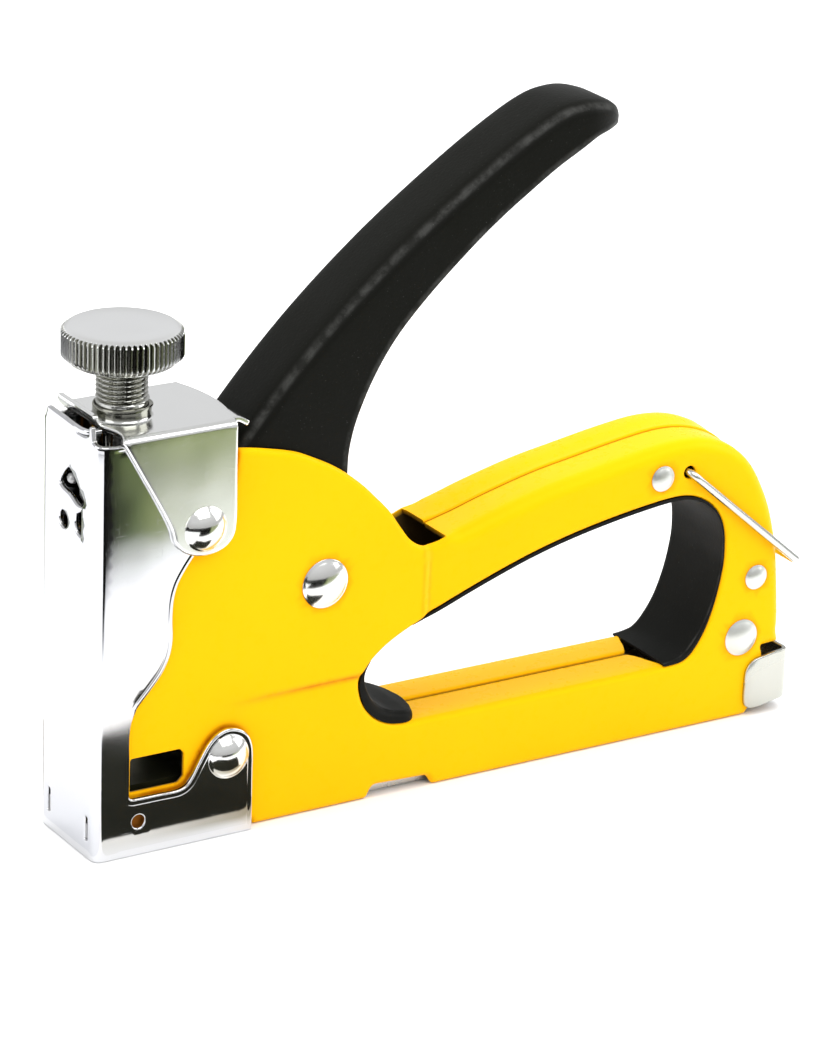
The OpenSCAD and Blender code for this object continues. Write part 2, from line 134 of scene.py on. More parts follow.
def outline(pts, ds=0.6, ccw=True):
    """A closed outline.  (x, z) is a point of a smooth run and (x, z, r) a corner rounded to r."""
    n = len(pts)
    corners = [i for i in range(n) if len(pts[i]) == 3]
    if not corners:
        q = [np.array(p[:2], float) for p in pts]
        out = []
        for i in range(n):
            out += catmull(q[i - 1], q[i], q[(i + 1) % n], q[(i + 2) % n], ds)
    else:
        runs = []
        for a, b in zip(corners, corners[1:] + [corners[0] + n]):
            runs.append(spline_run([pts[k % n][:2] for k in range(a, b + 1)], ds))
        k = len(runs)
        trimmed, arcs = [list(r) for r in runs], []
        for i in range(k):                        # the corner between run i-1 and run i
            r = pts[corners[i]][2]
            c = runs[i][0]
            u = runs[i - 1][-1] - runs[i - 1][-2]
            v = runs[i][1] - runs[i][0]
            u, v = u / np.linalg.norm(u), v / np.linalg.norm(v)
            phi = math.acos(max(-1.0, min(1.0, float(u @ v))))
            if r <= 0 or phi < 0.02:
                arcs.append(None)
                continue
            t = r * math.tan(min(phi, 2.6) / 2)
            trimmed[i - 1] = trim(trimmed[i - 1][::-1], t)[::-1]
            trimmed[i] = trim(trimmed[i], t)
            arcs.append((c, phi))
        out = []
        for i in range(k):
            if arcs[i] is not None:
                c, phi = arcs[i]
                a, b = trimmed[i - 1][-1], trimmed[i][0]
                m = max(3, int(math.ceil(phi / 0.2)))
                w = math.cos(phi / 2)
                for j in range(1, m):
                    s = j / m
                    den = (1 - s) ** 2 + 2 * w * s * (1 - s) + s * s
                    out.append(((1 - s) ** 2 * a + 2 * w * s * (1 - s) * c + s * s * b) / den)
            out += trimmed[i] if arcs[(i + 1) % k] is not None else trimmed[i][:-1]
    out = np.array(out)
    keep = np.linalg.norm(out - np.roll(out, 1, axis=0), axis=1) > 0.02
    out = out[keep]
    area = 0.5 * np.sum(out[:, 0] * np.roll(out[:, 1], -1) - np.roll(out[:, 0], -1) * out[:, 1])
    return out if (area > 0) == ccw else out[::-1].copy()


def circle2(x, z, r, n=40):
    """A round hole, as an outline that runs clockwise."""
    a = np.linspace(0, 2 * math.pi, n, endpoint=False)[::-1]
    return np.stack([x + r * np.cos(a), z + r * np.sin(a)], 1)


def seg_distance(p, loop):
    """Distance from each point to a closed polyline."""
    a, b = loop, np.roll(loop, -1, axis=0)
    ab = b - a
    den = np.maximum((ab ** 2).sum(1), 1e-12)
    out = np.empty(len(p))
    for s in range(0, len(p), 1500):
        q = p[s:s + 1500, None, :] - a[None]
        t = np.clip((q * ab[None]).sum(2) / den[None], 0, 1)
        d = q - t[..., None] * ab[None]
        out[s:s + 1500] = np.sqrt((d ** 2).sum(2)).min(1)
    return out


def inside(p, loops):
    """Even-odd test against all loops together."""
    hit = np.zeros(len(p), bool)
    for loop in loops:
        a, b = loop, np.roll(loop, -1, axis=0)
        for s in range(0, len(p), 3000):
            x, y = p[s:s + 3000, 0][:, None], p[s:s + 3000, 1][:, None]
            cond = (a[None, :, 1] > y) != (b[None, :, 1] > y)
            with np.errstate(divide="ignore", invalid="ignore"):
                xi = a[None, :, 0] + (y - a[None, :, 1]) * (b[None, :, 0] - a[None, :, 0]) / (b[None, :, 1] - a[None, :, 1])
            hit[s:s + 3000] ^= (np.where(cond, x < xi, False).sum(1) % 2).astype(bool)
    return hit


def normals2(loop):
    """Unit normals of a closed polyline's points, to the left of its direction."""
    e = np.roll(loop, -1, axis=0) - loop
    e /= np.maximum(np.linalg.norm(e, axis=1), 1e-9)[:, None]
    t = e + np.roll(e, 1, axis=0)
    t /= np.maximum(np.linalg.norm(t, axis=1), 1e-9)[:, None]
    return np.stack([-t[:, 1], t[:, 0]], 1)


class Domain:
    """A flat region with holes, triangulated with rings of points along every edge."""

    def __init__(self, loops, rings, grid=2.0, extra=None, clear=None):
        self.loops = loops
        pts = [np.vstack(loops)]
        starts = np.cumsum([0] + [len(l) for l in loops])
        for loop, ring in zip(loops, rings):
            nrm = normals2(loop)
            for d in ring:
                if d <= 0:
                    continue
                c = loop + nrm * d
                dist = np.min([seg_distance(c, l) for l in loops], axis=0)
                c = c[(np.abs(dist - d) < 0.02 + 0.02 * d) & inside(c, loops)]
                if len(c):
                    keep, last = [], None
                    for q in c:
                        if last is None or np.linalg.norm(q - last) > 0.3 * min(1.0, max(d, 0.35)):
                            keep.append(q)
                            last = q
                    pts.append(np.array(keep))
        allp = np.vstack(loops)
        lo, hi = allp.min(0), allp.max(0)
        gx, gy = np.meshgrid(np.arange(lo[0], hi[0], grid), np.arange(lo[1], hi[1], grid * 0.866))
        gx = gx + (np.arange(gx.shape[0]) % 2)[:, None] * grid / 2
        g = np.stack([gx.ravel(), gy.ravel()], 1)
        if clear is not None:                    # no plain grid points where the sheet is bent
            g = g[~clear(g)]
        if extra is not None:
            g = np.vstack([g, extra])
        ok = inside(g, loops)
        for loop, ring in zip(loops, rings):
            ok[ok] &= seg_distance(g[ok], loop) > (ring[-1] + 0.3 * grid if len(ring) else 0.3 * grid)
        pts.append(g[ok])
        p = np.vstack(pts)
        edges = []
        for s, e in zip(starts[:-1], starts[1:]):
            edges += [(i, i + 1 if i + 1 < e else s) for i in range(s, e)]
        res = delaunay_2d_cdt([Vector(q) for q in p], edges, [], 0, 1e-6)
        v2 = np.array([[q[0], q[1]] for q in res[0]])
        tris = np.array([f for f in res[2] if len(f) == 3])
        cen = v2[tris].mean(1)
        tris = tris[inside(cen, loops)]
        a, b, c = v2[tris[:, 0]], v2[tris[:, 1]], v2[tris[:, 2]]
        area = (b[:, 0] - a[:, 0]) * (c[:, 1] - a[:, 1]) - (b[:, 1] - a[:, 1]) * (c[:, 0] - a[:, 0])
        tris = tris[np.abs(area) > 1e-9]
        area = area[np.abs(area) > 1e-9]
        tris[area < 0] = tris[area < 0][:, ::-1]
        used = np.unique(tris)
        remap = -np.ones(len(v2), int)
        remap[used] = np.arange(len(used))
        self.p, self.tris = v2[used], remap[tris]
        self.dist = [seg_distance(self.p, l) for l in loops]
        home = {}
        for i, olds in enumerate(res[3]):
            for old in olds:
                home[old] = i
        self.index = []                          # for each loop, the mesh points along it
        for s, e in zip(starts[:-1], starts[1:]):
            self.index.append([int(remap[home[i]]) for i in range(s, e)])


def face_normals(v, faces):
    """Area-weighted vertex normals of a mesh with faces of any size."""
    n = np.zeros_like(v)
    for size in sorted({len(f) for f in faces}):
        f = np.array([x for x in faces if len(x) == size])
        if size == 3:
            fn = np.cross(v[f[:, 1]] - v[f[:, 0]], v[f[:, 2]] - v[f[:, 0]])
        else:
            fn = np.cross(v[f[:, 2]] - v[f[:, 0]], v[f[:, 3]] - v[f[:, 1]])
        for k in range(size):
            np.add.at(n, f[:, k], fn)
    return n / np.maximum(np.linalg.norm(n, axis=1), 1e-12)[:, None]


def thicken(v, faces, t, delta=None, normals=None):
    """A closed sheet: v is its outer side, t its thickness, and delta rounds its cut edges."""
    v = np.asarray(v, float)
    n = face_normals(v, faces) if normals is None else normals
    delta = np.zeros(len(v)) if delta is None else delta
    outer, inner = v - n * delta[:, None], v - n * (t - delta)[:, None]
    k = len(v)
    count = {}
    for f in faces:
        for a, b in zip(f, list(f[1:]) + [f[0]]):
            count[(a, b)] = count.get((a, b), 0) + 1
    rim = [(a, b) for (a, b) in count if (b, a) not in count]
    out = [list(f) for f in faces] + [[x + k for x in f[::-1]] for f in faces]
    out += [[b, a, a + k, b + k] for a, b in rim]
    return np.vstack([outer, inner]), out


def edge_drop(d, r):
    """How far a rounded cut edge of radius r lies under the flat, at distance d from the cut."""
    d = np.clip(d, 0, r)
    return r - np.sqrt(np.maximum(r * r - (r - d) ** 2, 0))


def lathe(profile, segs=64, origin=(0, 0, 0), axis="z", wobble=None):
    """A body of revolution from (radius, height) points; a radius of 0 closes an end."""
    prof = list(profile)
    verts, rows = [], []
    for r, h in prof:
        if r <= 1e-9:
            rows.append([len(verts)])
            verts.append((0, 0, h))
            continue
        row = []
        for k in range(segs):
            a = 2 * math.pi * k / segs
            rr = r if wobble is None else wobble(r, h, a)
            row.append(len(verts))
            verts.append((rr * math.cos(a), rr * math.sin(a), h))
        rows.append(row)
    faces = []
    for a, b in zip(rows[:-1], rows[1:]):
        if len(a) == 1 and len(b) == 1:
            continue
        for k in range(segs):
            m = (k + 1) % segs
            if len(a) == 1:
                faces.append([a[0], b[m], b[k]])
            elif len(b) == 1:
                faces.append([a[k], a[m], b[0]])
            else:
                faces.append([a[k], a[m], b[m], b[k]])
    v = np.array(verts, float)
    if axis == "y":                              # height runs along +Y
        v = np.stack([v[:, 0], v[:, 2], -v[:, 1]], 1)
    elif axis == "-y":
        v = np.stack([v[:, 0], -v[:, 2], v[:, 1]], 1)
    elif axis == "x":
        v = np.stack([v[:, 2], v[:, 1], -v[:, 0]], 1)
    return v + np.array(origin, float), faces


def sweep(path, radius, sides=12, closed=False, cap=True, up=None):
    """A tube along a path; radius may be one number or one for each point."""
    p = np.array(path, float)
    n = len(p)
    rad = np.full(n, radius) if np.isscalar(radius) else np.array(radius, float)
    if closed:
        t = np.roll(p, -1, 0) - np.roll(p, 1, 0)
    else:
        t = np.gradient(p, axis=0)
    t /= np.linalg.norm(t, axis=1)[:, None]
    a = np.array([0, 0, 1.0]) if up is None else np.array(up, float)
    if abs(a @ t[0]) > 0.9:
        a = np.array([1.0, 0, 0])
    u = np.cross(t[0], a)
    u /= np.linalg.norm(u)
    frames = [u]
    for i in range(1, n):
        u = u - t[i] * (u @ t[i])
        u /= np.linalg.norm(u)
        frames.append(u)
    frames = np.array(frames)
    w = np.cross(t, frames)
    ang = np.linspace(0, 2 * math.pi, sides, endpoint=False)
    v = (p[:, None] + rad[:, None, None] * (np.cos(ang)[None, :, None] * frames[:, None] + np.sin(ang)[None, :, None] * w[:, None])).reshape(-1, 3)
    faces = []
    m = n if closed else n - 1
    for i in range(m):
        j = (i + 1) % n
        for k in range(sides):
            l = (k + 1) % sides
            faces.append([i * sides + k, i * sides + l, j * sides + l, j * sides + k])
    if not closed and cap:
        v = np.vstack([v, p[0] - t[0] * rad[0] * 0.35, p[-1] + t[-1] * rad[-1] * 0.35])
        for k in range(sides):
            l = (k + 1) % sides
            faces.append([len(v) - 2, l, k])
            faces.append([len(v) - 1, (n - 1) * sides + k, (n - 1) * sides + l])
    return v, faces


def merge(*parts):
    verts, faces, base = [], [], 0
    for v, f in parts:
        verts.append(np.asarray(v, float))
        faces += [[x + base for x in g] for g in f]
        base += len(v)
    return np.vstack(verts), faces


def mirror_y(v, faces):
    w = np.array(v, float)
    w[:, 1] *= -1
    return w, [list(f)[::-1] for f in faces]


def smoothstep(a, b, x):
    """0 at a and 1 at b; a may be the larger."""
    t = np.clip((np.asarray(x, float) - a) / (b - a), 0, 1)
    return t * t * (3 - 2 * t)



# ---------------------------------------------------------------------------
# Materials.  Object coordinates are metres in the row frame, so every scale
# below is in features per metre.
# ---------------------------------------------------------------------------

class Graph:
    def __init__(self, name):
        self.m = bpy.data.materials.new(name)
        self.m.use_nodes = True
        self.t = self.m.node_tree
        self.t.nodes.clear()
        out = self.t.nodes.new("ShaderNodeOutputMaterial")
        self.p = self.t.nodes.new("ShaderNodeBsdfPrincipled")
        self.t.links.new(self.p.outputs["BSDF"], out.inputs["Surface"])
        self.xyz = self.t.nodes.new("ShaderNodeTexCoord").outputs["Object"]

    def link(self, a, b):
        if isinstance(a, bpy.types.NodeSocket):
            self.t.links.new(a, b)
        else:
            b.default_value = a

    def stretch(self, scale, rotate=(0, 0, 0)):
        n = self.t.nodes.new("ShaderNodeMapping")
        self.t.links.new(self.xyz, n.inputs["Vector"])
        n.inputs["Scale"].default_value = scale
        n.inputs["Rotation"].default_value = rotate
        return n.outputs["Vector"]

    def noise(self, scale, detail=3.0, rough=0.5, vec=None, distortion=0.0):
        n = self.t.nodes.new("ShaderNodeTexNoise")
        n.inputs["Scale"].default_value = scale
        n.inputs["Detail"].default_value = detail
        n.inputs["Roughness"].default_value = rough
        n.inputs["Distortion"].default_value = distortion
        self.t.links.new(self.xyz if vec is None else vec, n.inputs["Vector"])
        return n.outputs["Fac"]

    def voronoi(self, scale, vec=None, feature="F1"):
        n = self.t.nodes.new("ShaderNodeTexVoronoi")
        n.feature = feature
        n.inputs["Scale"].default_value = scale
        self.t.links.new(self.xyz if vec is None else vec, n.inputs["Vector"])
        return n.outputs["Distance"]

    def attr(self, name):
        n = self.t.nodes.new("ShaderNodeAttribute")
        n.attribute_name = name
        return n.outputs["Fac"]

    def rng(self, v, a, b, c, d, clamp=True):
        n = self.t.nodes.new("ShaderNodeMapRange")
        n.clamp = clamp
        self.link(v, n.inputs["Value"])
        for key, x in zip(("From Min", "From Max", "To Min", "To Max"), (a, b, c, d)):
            n.inputs[key].default_value = x
        return n.outputs["Result"]

    def math(self, op, a, b=0.0, clamp=False):
        n = self.t.nodes.new("ShaderNodeMath")
        n.operation = op
        n.use_clamp = clamp
        self.link(a, n.inputs[0])
        self.link(b, n.inputs[1])
        return n.outputs[0]

    def mix(self, fac, a, b):
        n = self.t.nodes.new("ShaderNodeMix")
        n.data_type = "RGBA"
        self.link(fac, n.inputs[0])
        for s, c in ((n.inputs[6], a), (n.inputs[7], b)):
            self.link((*c, 1.0) if isinstance(c, tuple) else c, s)
        return n.outputs[2]

    def axis(self, k):
        n = self.t.nodes.new("ShaderNodeSeparateXYZ")
        self.t.links.new(self.xyz, n.inputs[0])
        return n.outputs[k]

    def bump(self, height, strength, distance, normal=None):
        n = self.t.nodes.new("ShaderNodeBump")
        n.inputs["Strength"].default_value = strength
        n.inputs["Distance"].default_value = distance
        self.link(height, n.inputs["Height"])
        if normal is not None:
            self.t.links.new(normal, n.inputs["Normal"])
        return n.outputs["Normal"]

    def done(self, color=None, rough=None, metal=0.0, normal=None, **const):
        p = self.p
        if color is not None:
            self.link((*color, 1.0) if isinstance(color, tuple) else color, p.inputs["Base Color"])
        if rough is not None:
            self.link(rough, p.inputs["Roughness"])
        self.link(metal, p.inputs["Metallic"])
        if normal is not None:
            self.t.links.new(normal, p.inputs["Normal"])
        for key, x in const.items():
            p.inputs[key.replace("_", " ")].default_value = x
        return self.m


def yellow_paint():
    """Sprayed enamel: slight orange peel, thin and orange on the folds, a few specks and chips; painted shade in dark
    red against covering parts and in the creases, and near black on the inner faces inside the nose.
    """
    g = Graph("yellow_paint")
    cloud = g.noise(22, 2)
    fine = g.noise(420, 3, 0.6)
    peel = g.noise(1300, 2, 0.4)
    wave = g.noise(60, 1)
    edge = g.attr("edge")
    inner = g.attr("inside")
    chip = g.math("MULTIPLY", g.rng(g.noise(900, 4, 0.7), 0.62, 0.74, 0, 1), g.rng(edge, 0.75, 1.0, 0, 1))
    col = g.mix(g.rng(cloud, 0.3, 0.7, 0, 1), (0.900, 0.450, 0.0024), (0.925, 0.478, 0.0030))
    col = g.mix(g.rng(edge, 0.35, 1.0, 0, 0.18), col, (0.84, 0.33, 0.003))
    # painted shade: a dark red contact shadow where the rim attribute is set, against covering parts, in the creases
    # and round the ear hole
    rim = g.math("MULTIPLY", g.attr("rim"), g.rng(g.noise(300, 3), 0.3, 0.7, 0.6, 0.9))
    col = g.mix(rim, col, (0.40, 0.050, 0.0012))
    speck = g.rng(g.noise(2600, 2, 0.7), 0.75, 0.81, 0, 0.08)
    col = g.mix(speck, col, (0.55, 0.30, 0.01))
    col = g.mix(g.math("MULTIPLY", chip, 0.22), col, (0.30, 0.18, 0.04))
    # painted shade: a near-black colour on the inner faces, for the shade inside the closed handle
    inside_shade = g.mix(g.noise(120, 3), (0.030, 0.026, 0.018), (0.055, 0.046, 0.030))
    col = g.mix(g.rng(inner, 0.0, 1.0, 0, 1), col, inside_shade)
    rough = g.rng(fine, 0.3, 0.7, 0.25, 0.33)
    rough = g.math("ADD", rough, g.math("MULTIPLY", chip, 0.25))
    n = g.bump(peel, 0.05, 0.0002)
    n = g.bump(wave, 0.05, 0.0012, n)
    n = g.bump(chip, -0.35, 0.0001, n)
    return g.done(col, rough, 0.0, n, Specular_IOR_Level=0.06, IOR=1.5, Specular_Tint=(1.0, 0.80, 0.22, 1.0))


def plate(name, lo, hi, r0, r1, waves=0.10, scratch=0.18, grain=(1, 1, 1), tint=(0.42, 0.40, 0.34)):
    """Plated sheet: bright metal with soft waviness from pressing, hairline scratches and edge wear."""
    g = Graph(name)
    cloud = g.noise(60, 3)
    smear = g.noise(14, 2, vec=g.stretch((1.0, 1.0, 3.0)))
    hair = g.noise(260, 5, 0.75, vec=g.stretch((9.0 * grain[0], 9.0 * grain[1], 0.8 * grain[2]), (0.3, 0.2, 0.5)))
    hair2 = g.noise(300, 4, 0.7, vec=g.stretch((0.9, 7.0, 8.0), (0.9, 0.1, 0.2)))
    pits = g.voronoi(1500)
    edge = g.attr("edge")
    col = g.mix(cloud, lo, hi)
    col = g.mix(g.math("MULTIPLY", g.rng(edge, 0.55, 1.0, 0, 0.5), g.rng(g.noise(700, 4, 0.7), 0.45, 0.65, 0, 1)), col, tint)
    col = g.mix(g.rng(pits, 0.0, 0.09, 0.5, 0.0), col, tint)
    rough = g.rng(smear, 0.3, 0.7, r0, r1)
    # painted shade: the dark attribute greys the plating in the knob's grooves, on the threaded stem and on the collar
    col = g.mix(g.attr("dark"), col, (0.20, 0.20, 0.165))
    rough = g.math("ADD", rough, g.rng(hair, 0.60, 0.76, 0.0, 0.06))
    n = g.bump(g.noise(55, 1), waves, 0.0020)
    n = g.bump(g.math("ADD", g.rng(hair, 0.62, 0.75, 0, 1), g.rng(hair2, 0.64, 0.75, 0, 1)), scratch, 0.000010, n)
    return g.done(col, rough, 1.0, n)


def steel(name, lo, hi, r0, r1, oil=(0.05, 0.045, 0.04), amount=0.35):
    g = Graph(name)
    cloud = g.noise(110, 4, 0.6)
    stain = g.noise(45, 3, 0.6, distortion=0.6)
    grind = g.noise(420, 4, 0.7, vec=g.stretch((0.5, 0.5, 9.0), (0.1, 0.15, 0)))
    col = g.mix(cloud, lo, hi)
    col = g.mix(g.rng(stain, 0.48, 0.72, 0, amount), col, oil)
    rough = g.rng(grind, 0.3, 0.7, r0, r1)
    n = g.bump(grind, 0.25, 0.00006)
    n = g.bump(g.noise(180, 2), 0.12, 0.0006, n)
    return g.done(col, rough, 1.0, n)


def black_plastic(name, lo, hi, r0, r1, grain_scale=1700, grain=0.22, rub=(0.10, 0.10, 0.095)):
    """Moulded black plastic with an eroded texture, rubbed a little shinier and greyer on its edges."""
    g = Graph(name)
    cloud = g.noise(30, 3)
    tex = g.noise(grain_scale, 3, 0.62)
    cell = g.voronoi(grain_scale * 0.8)
    edge = g.attr("edge")
    wear = g.math("MULTIPLY", g.rng(edge, 0.4, 1.0, 0, 1), g.rng(g.noise(260, 4, 0.65), 0.42, 0.62, 0.2, 1))
    col = g.mix(cloud, lo, hi)
    col = g.mix(g.math("MULTIPLY", wear, 0.5), col, rub)
    col = g.mix(g.rng(g.noise(2400, 2, 0.7), 0.69, 0.76, 0, 0.35), col, rub)
    rough = g.rng(g.noise(70, 4, 0.6), 0.3, 0.7, r0, r1)
    rough = g.math("SUBTRACT", rough, g.math("MULTIPLY", wear, 0.08))
    n = g.bump(g.math("ADD", tex, g.math("MULTIPLY", cell, 0.6)), grain, 0.00012)
    n = g.bump(g.noise(60, 1), 0.10, 0.0015, n)
    return g.done(col, rough, 0.0, n, Specular_IOR_Level=0.09)


def rubber(name):
    g = Graph(name)
    col = g.mix(g.noise(80, 4), (0.018, 0.018, 0.018), (0.032, 0.031, 0.03))
    n = g.bump(g.noise(1500, 3, 0.6), 0.3, 0.0001)
    return g.done(col, g.rng(g.noise(200, 3), 0.3, 0.7, 0.6, 0.78), 0.0, n)


def channel_steel():
    """Plated magazine channel, with painted shade darkening it inside the nose."""
    g = Graph("channel_plate")
    col = g.mix(g.noise(90, 4, 0.6), (0.62, 0.62, 0.60), (0.74, 0.74, 0.72))
    shade = g.rng(g.math("ADD", g.axis(0), g.rng(g.noise(200, 3), 0, 1, -0.004, 0.004)), -0.050, -0.062, 0, 1)
    col = g.mix(shade, col, (0.060, 0.062, 0.030))
    n = g.bump(g.noise(420, 4, 0.7, vec=g.stretch((0.5, 9.0, 0.5))), 0.2, 0.00004)
    return g.done(col, g.math("ADD", g.rng(g.noise(220, 3), 0.3, 0.7, 0.24, 0.36), g.math("MULTIPLY", shade, 0.2)), 1.0, n)


MAT = {
    "yellow_paint": yellow_paint(),
    "chrome_plate": plate("chrome_plate", (0.655, 0.66, 0.675), (0.69, 0.695, 0.71), 0.05, 0.11),
    "rivet_plate": plate("rivet_plate", (0.80, 0.80, 0.78), (0.86, 0.86, 0.83), 0.07, 0.16, waves=0.25, scratch=0.25),
    "bracket_plate": plate("bracket_plate", (0.89, 0.895, 0.88), (0.93, 0.935, 0.92), 0.13, 0.24, waves=0.16, scratch=0.35),
    "satin_rivet": plate("satin_rivet", (0.60, 0.61, 0.575), (0.68, 0.69, 0.655), 0.27, 0.37, waves=0.3, scratch=0.3),
    "knob_plate": plate("knob_plate", (0.93, 0.935, 0.925), (0.97, 0.975, 0.965), 0.10, 0.18, waves=0.04, scratch=0.5),
    "zinc_plate": plate("zinc_plate", (0.47, 0.48, 0.44), (0.55, 0.555, 0.515), 0.20, 0.32, waves=0.12, scratch=0.4),
    "bare_steel": steel("bare_steel", (0.36, 0.36, 0.36), (0.50, 0.50, 0.49), 0.28, 0.45),
    "spring_steel": steel("spring_steel", (0.20, 0.20, 0.21), (0.32, 0.32, 0.33), 0.26, 0.40),
    "wire_plate": plate("wire_plate", (0.58, 0.59, 0.56), (0.68, 0.69, 0.66), 0.10, 0.20, waves=0.05, scratch=0.3),
    "lever_plastic": black_plastic("lever_plastic", (0.0036, 0.0038, 0.0028), (0.0052, 0.0054, 0.0040), 0.38, 0.48),
    "liner_plastic": black_plastic("liner_plastic", (0.0034, 0.0036, 0.0028), (0.0052, 0.0054, 0.0042), 0.44, 0.54, grain=0.15),
    "buffer_rubber": rubber("buffer_rubber"),
}

channel_plate = channel_steel()
slot_of = {s["node"]: s["material_slot"] for s in frame["record"]["subparts"]}
for name, o in nodes.items():
    if o.data.materials:
        for i in range(len(o.data.materials)):
            o.data.materials[i] = MAT[slot_of[name]]
    else:
        o.data.materials.append(MAT[slot_of[name]])
    if name == "magazine_channel":
        for i in range(len(o.data.materials)):
            o.data.materials[i] = channel_plate


# ---------------------------------------------------------------------------
# Handle shells: two pressings with rolled edges that meet along a seam
# ---------------------------------------------------------------------------

SHELL_W, CHEEK_H, SHEET = 10.0, 0.6, 1.2

NOSE_SIDE = [(24.6, 0, .35), (24.6, 6), (24.6, 12), (24.6, 17.0), (24.4, 18.9), (23.7, 20.8), (22.5, 22.2), (20.9, 23.1),
    (18.9, 23.5), (17, 23.1), (15.4, 22.1), (14.0, 20.6), (12, 17.3), (10.5, 14.6), (9.4, 13.2), (7.9, 12.5), (3, 12.45),
    (-3.8, 12.5, 1.1), (-3.8, 20), (-3.8, 27), (-3.4, 29.4), (-2.2, 31.8), (.6, 35), (3.4, 38.4), (5, 41.6), (5.7, 45),
    (5.6, 50), (5.9, 54), (6.8, 57), (8.6, 60), (10.4, 62.4), (13, 66), (15, 71), (16, 78), (16, 88, .5)]
BRACKET_EDGE = [(0, 92), (2.5, 76), (4.5, 68.9), (5.2, 66.4), (6.5, 64.4), (8.7, 63.1), (11.8, 62.5), (15, 62.9), (17, 63.9), (18.4, 65.6), (18.9, 67.8),
    (18.9, 92)]
HEADS = [(41.1, 50.4, 5.25), (123.2, 58.8, 2.8), (148.9, 32, 2.75), (145.9, 18.6, 4.1)]

SHELL_OUT = [(-9, 1.4, .3), (25.2, 1.4, .5), (26, 0, .6), (53, 0, 1.4), (54.4, 2.7, 1.6), (67.6, 2.2, 1.4), (69, 0, .8),
    (148.4, 0, 1.2), (149.9, 1.9, .6), (150.8, 2.7, .3), (156, 2.9, .5), (156.2, 12.4, .4), (152.4, 12.5, .4),
    (151.8, 15.3, .4), (156.3, 15.5, .5), (156.6, 20.5), (156.3, 25.5), (155.8, 31), (155.2, 36), (154.2, 41.2), (152.2, 48.0),
    (149.1, 54.6), (147.0, 57.8), (144.3, 60.6), (141.1, 62.9), (137.5, 64.5), (133.6, 65.5), (129.6, 65.9), (125.2, 65.8),
    (117, 64.8), (107, 63.2), (96.5, 61.4), (84.2, 58.4), (76.6, 56.2), (70.7, 54.8, .12), (68.4, 54.0), (66.0, 53.75),
    (63.8, 54.3), (61.6, 55.9), (59.0, 59.3), (56.3, 63.2), (53.2, 66.5), (50, 69.7), (46.2, 72.8), (42.8, 75.1), (39.1, 77.1),
    (34.2, 79.4), (28, 81.1), (20.7, 82.5), (10, 83.6), (1.5, 84, .3), (1.5, 54, 3), (-9, 38, 3)]
LOOP = [(65.4, 38.2), (77, 42.7), (90.4, 47.2), (100, 49.7), (109.6, 51.6), (118, 52.9), (125.2, 53.7), (129, 53.7),
    (131.6, 53.2), (134, 52.2), (136.2, 50.7), (138.1, 48.6), (139.4, 46.1), (140.1, 43.2), (140.3, 40.4), (140.3, 37.2),
    (139.8, 33.6), (138.9, 29.4), (137.7, 25.4), (136.3, 22.0), (134.5, 19.0), (132.8, 17.0), (130.9, 15.85), (128.4, 15.5), (124.6, 15.5),
    (110, 15.5), (94, 15.5), (78, 15.5), (66, 15.5), (62, 15.5), (59, 15.8), (56.2, 16.8), (53.8, 18.5), (51.9, 20.9),
    (50.8, 23.6), (50.5, 26), (51, 28.2), (52.4, 30.4), (54.4, 32.3), (57.2, 34.3), (60.4, 36)]
CHEEK = [(-14, 27.4, 0), (20, 28.2), (40, 28.5), (52.6, 28.6, 0), (60, 28.6, 0), (65.5, 34, 0), (65.5, 44), (65.6, 49),
    (65.5, 54), (66, 60), (72, 75, 0), (60, 100, 0), (-14, 100, 0)]
WINDOW = [(-2.6, 13, .5), (8.4, 13, 1), (9.6, 14.2, 1), (9.6, 19.4, 1), (8.6, 20.4, .8), (-2.6, 20.4, .5)]


def edge_radius(x, z):
    """Radius of the rolled edge round the outside of a shell."""
    r = 1.25 + 1.75 * smoothstep(70.8, 74.5, x) * smoothstep(14.0, 19.0, z)
    return r


def half_width(x, z, dc):
    """Half width of the outer face; the cheek round the pivot is pressed proud."""
    soft = 0.9 + 9.0 * (1 - smoothstep(6.0, 30.0, x))
    w = SHELL_W + CHEEK_H * smoothstep(-soft * 1.3, soft, dc)
    # the pressing dies away in front of the crease and swells a little along the middle of the cheek
    w = w - 0.16 * np.exp(-((dc + 1.6) / 1.6) ** 2) * (dc < 0.4) * smoothstep(10, 34, x)
    return w


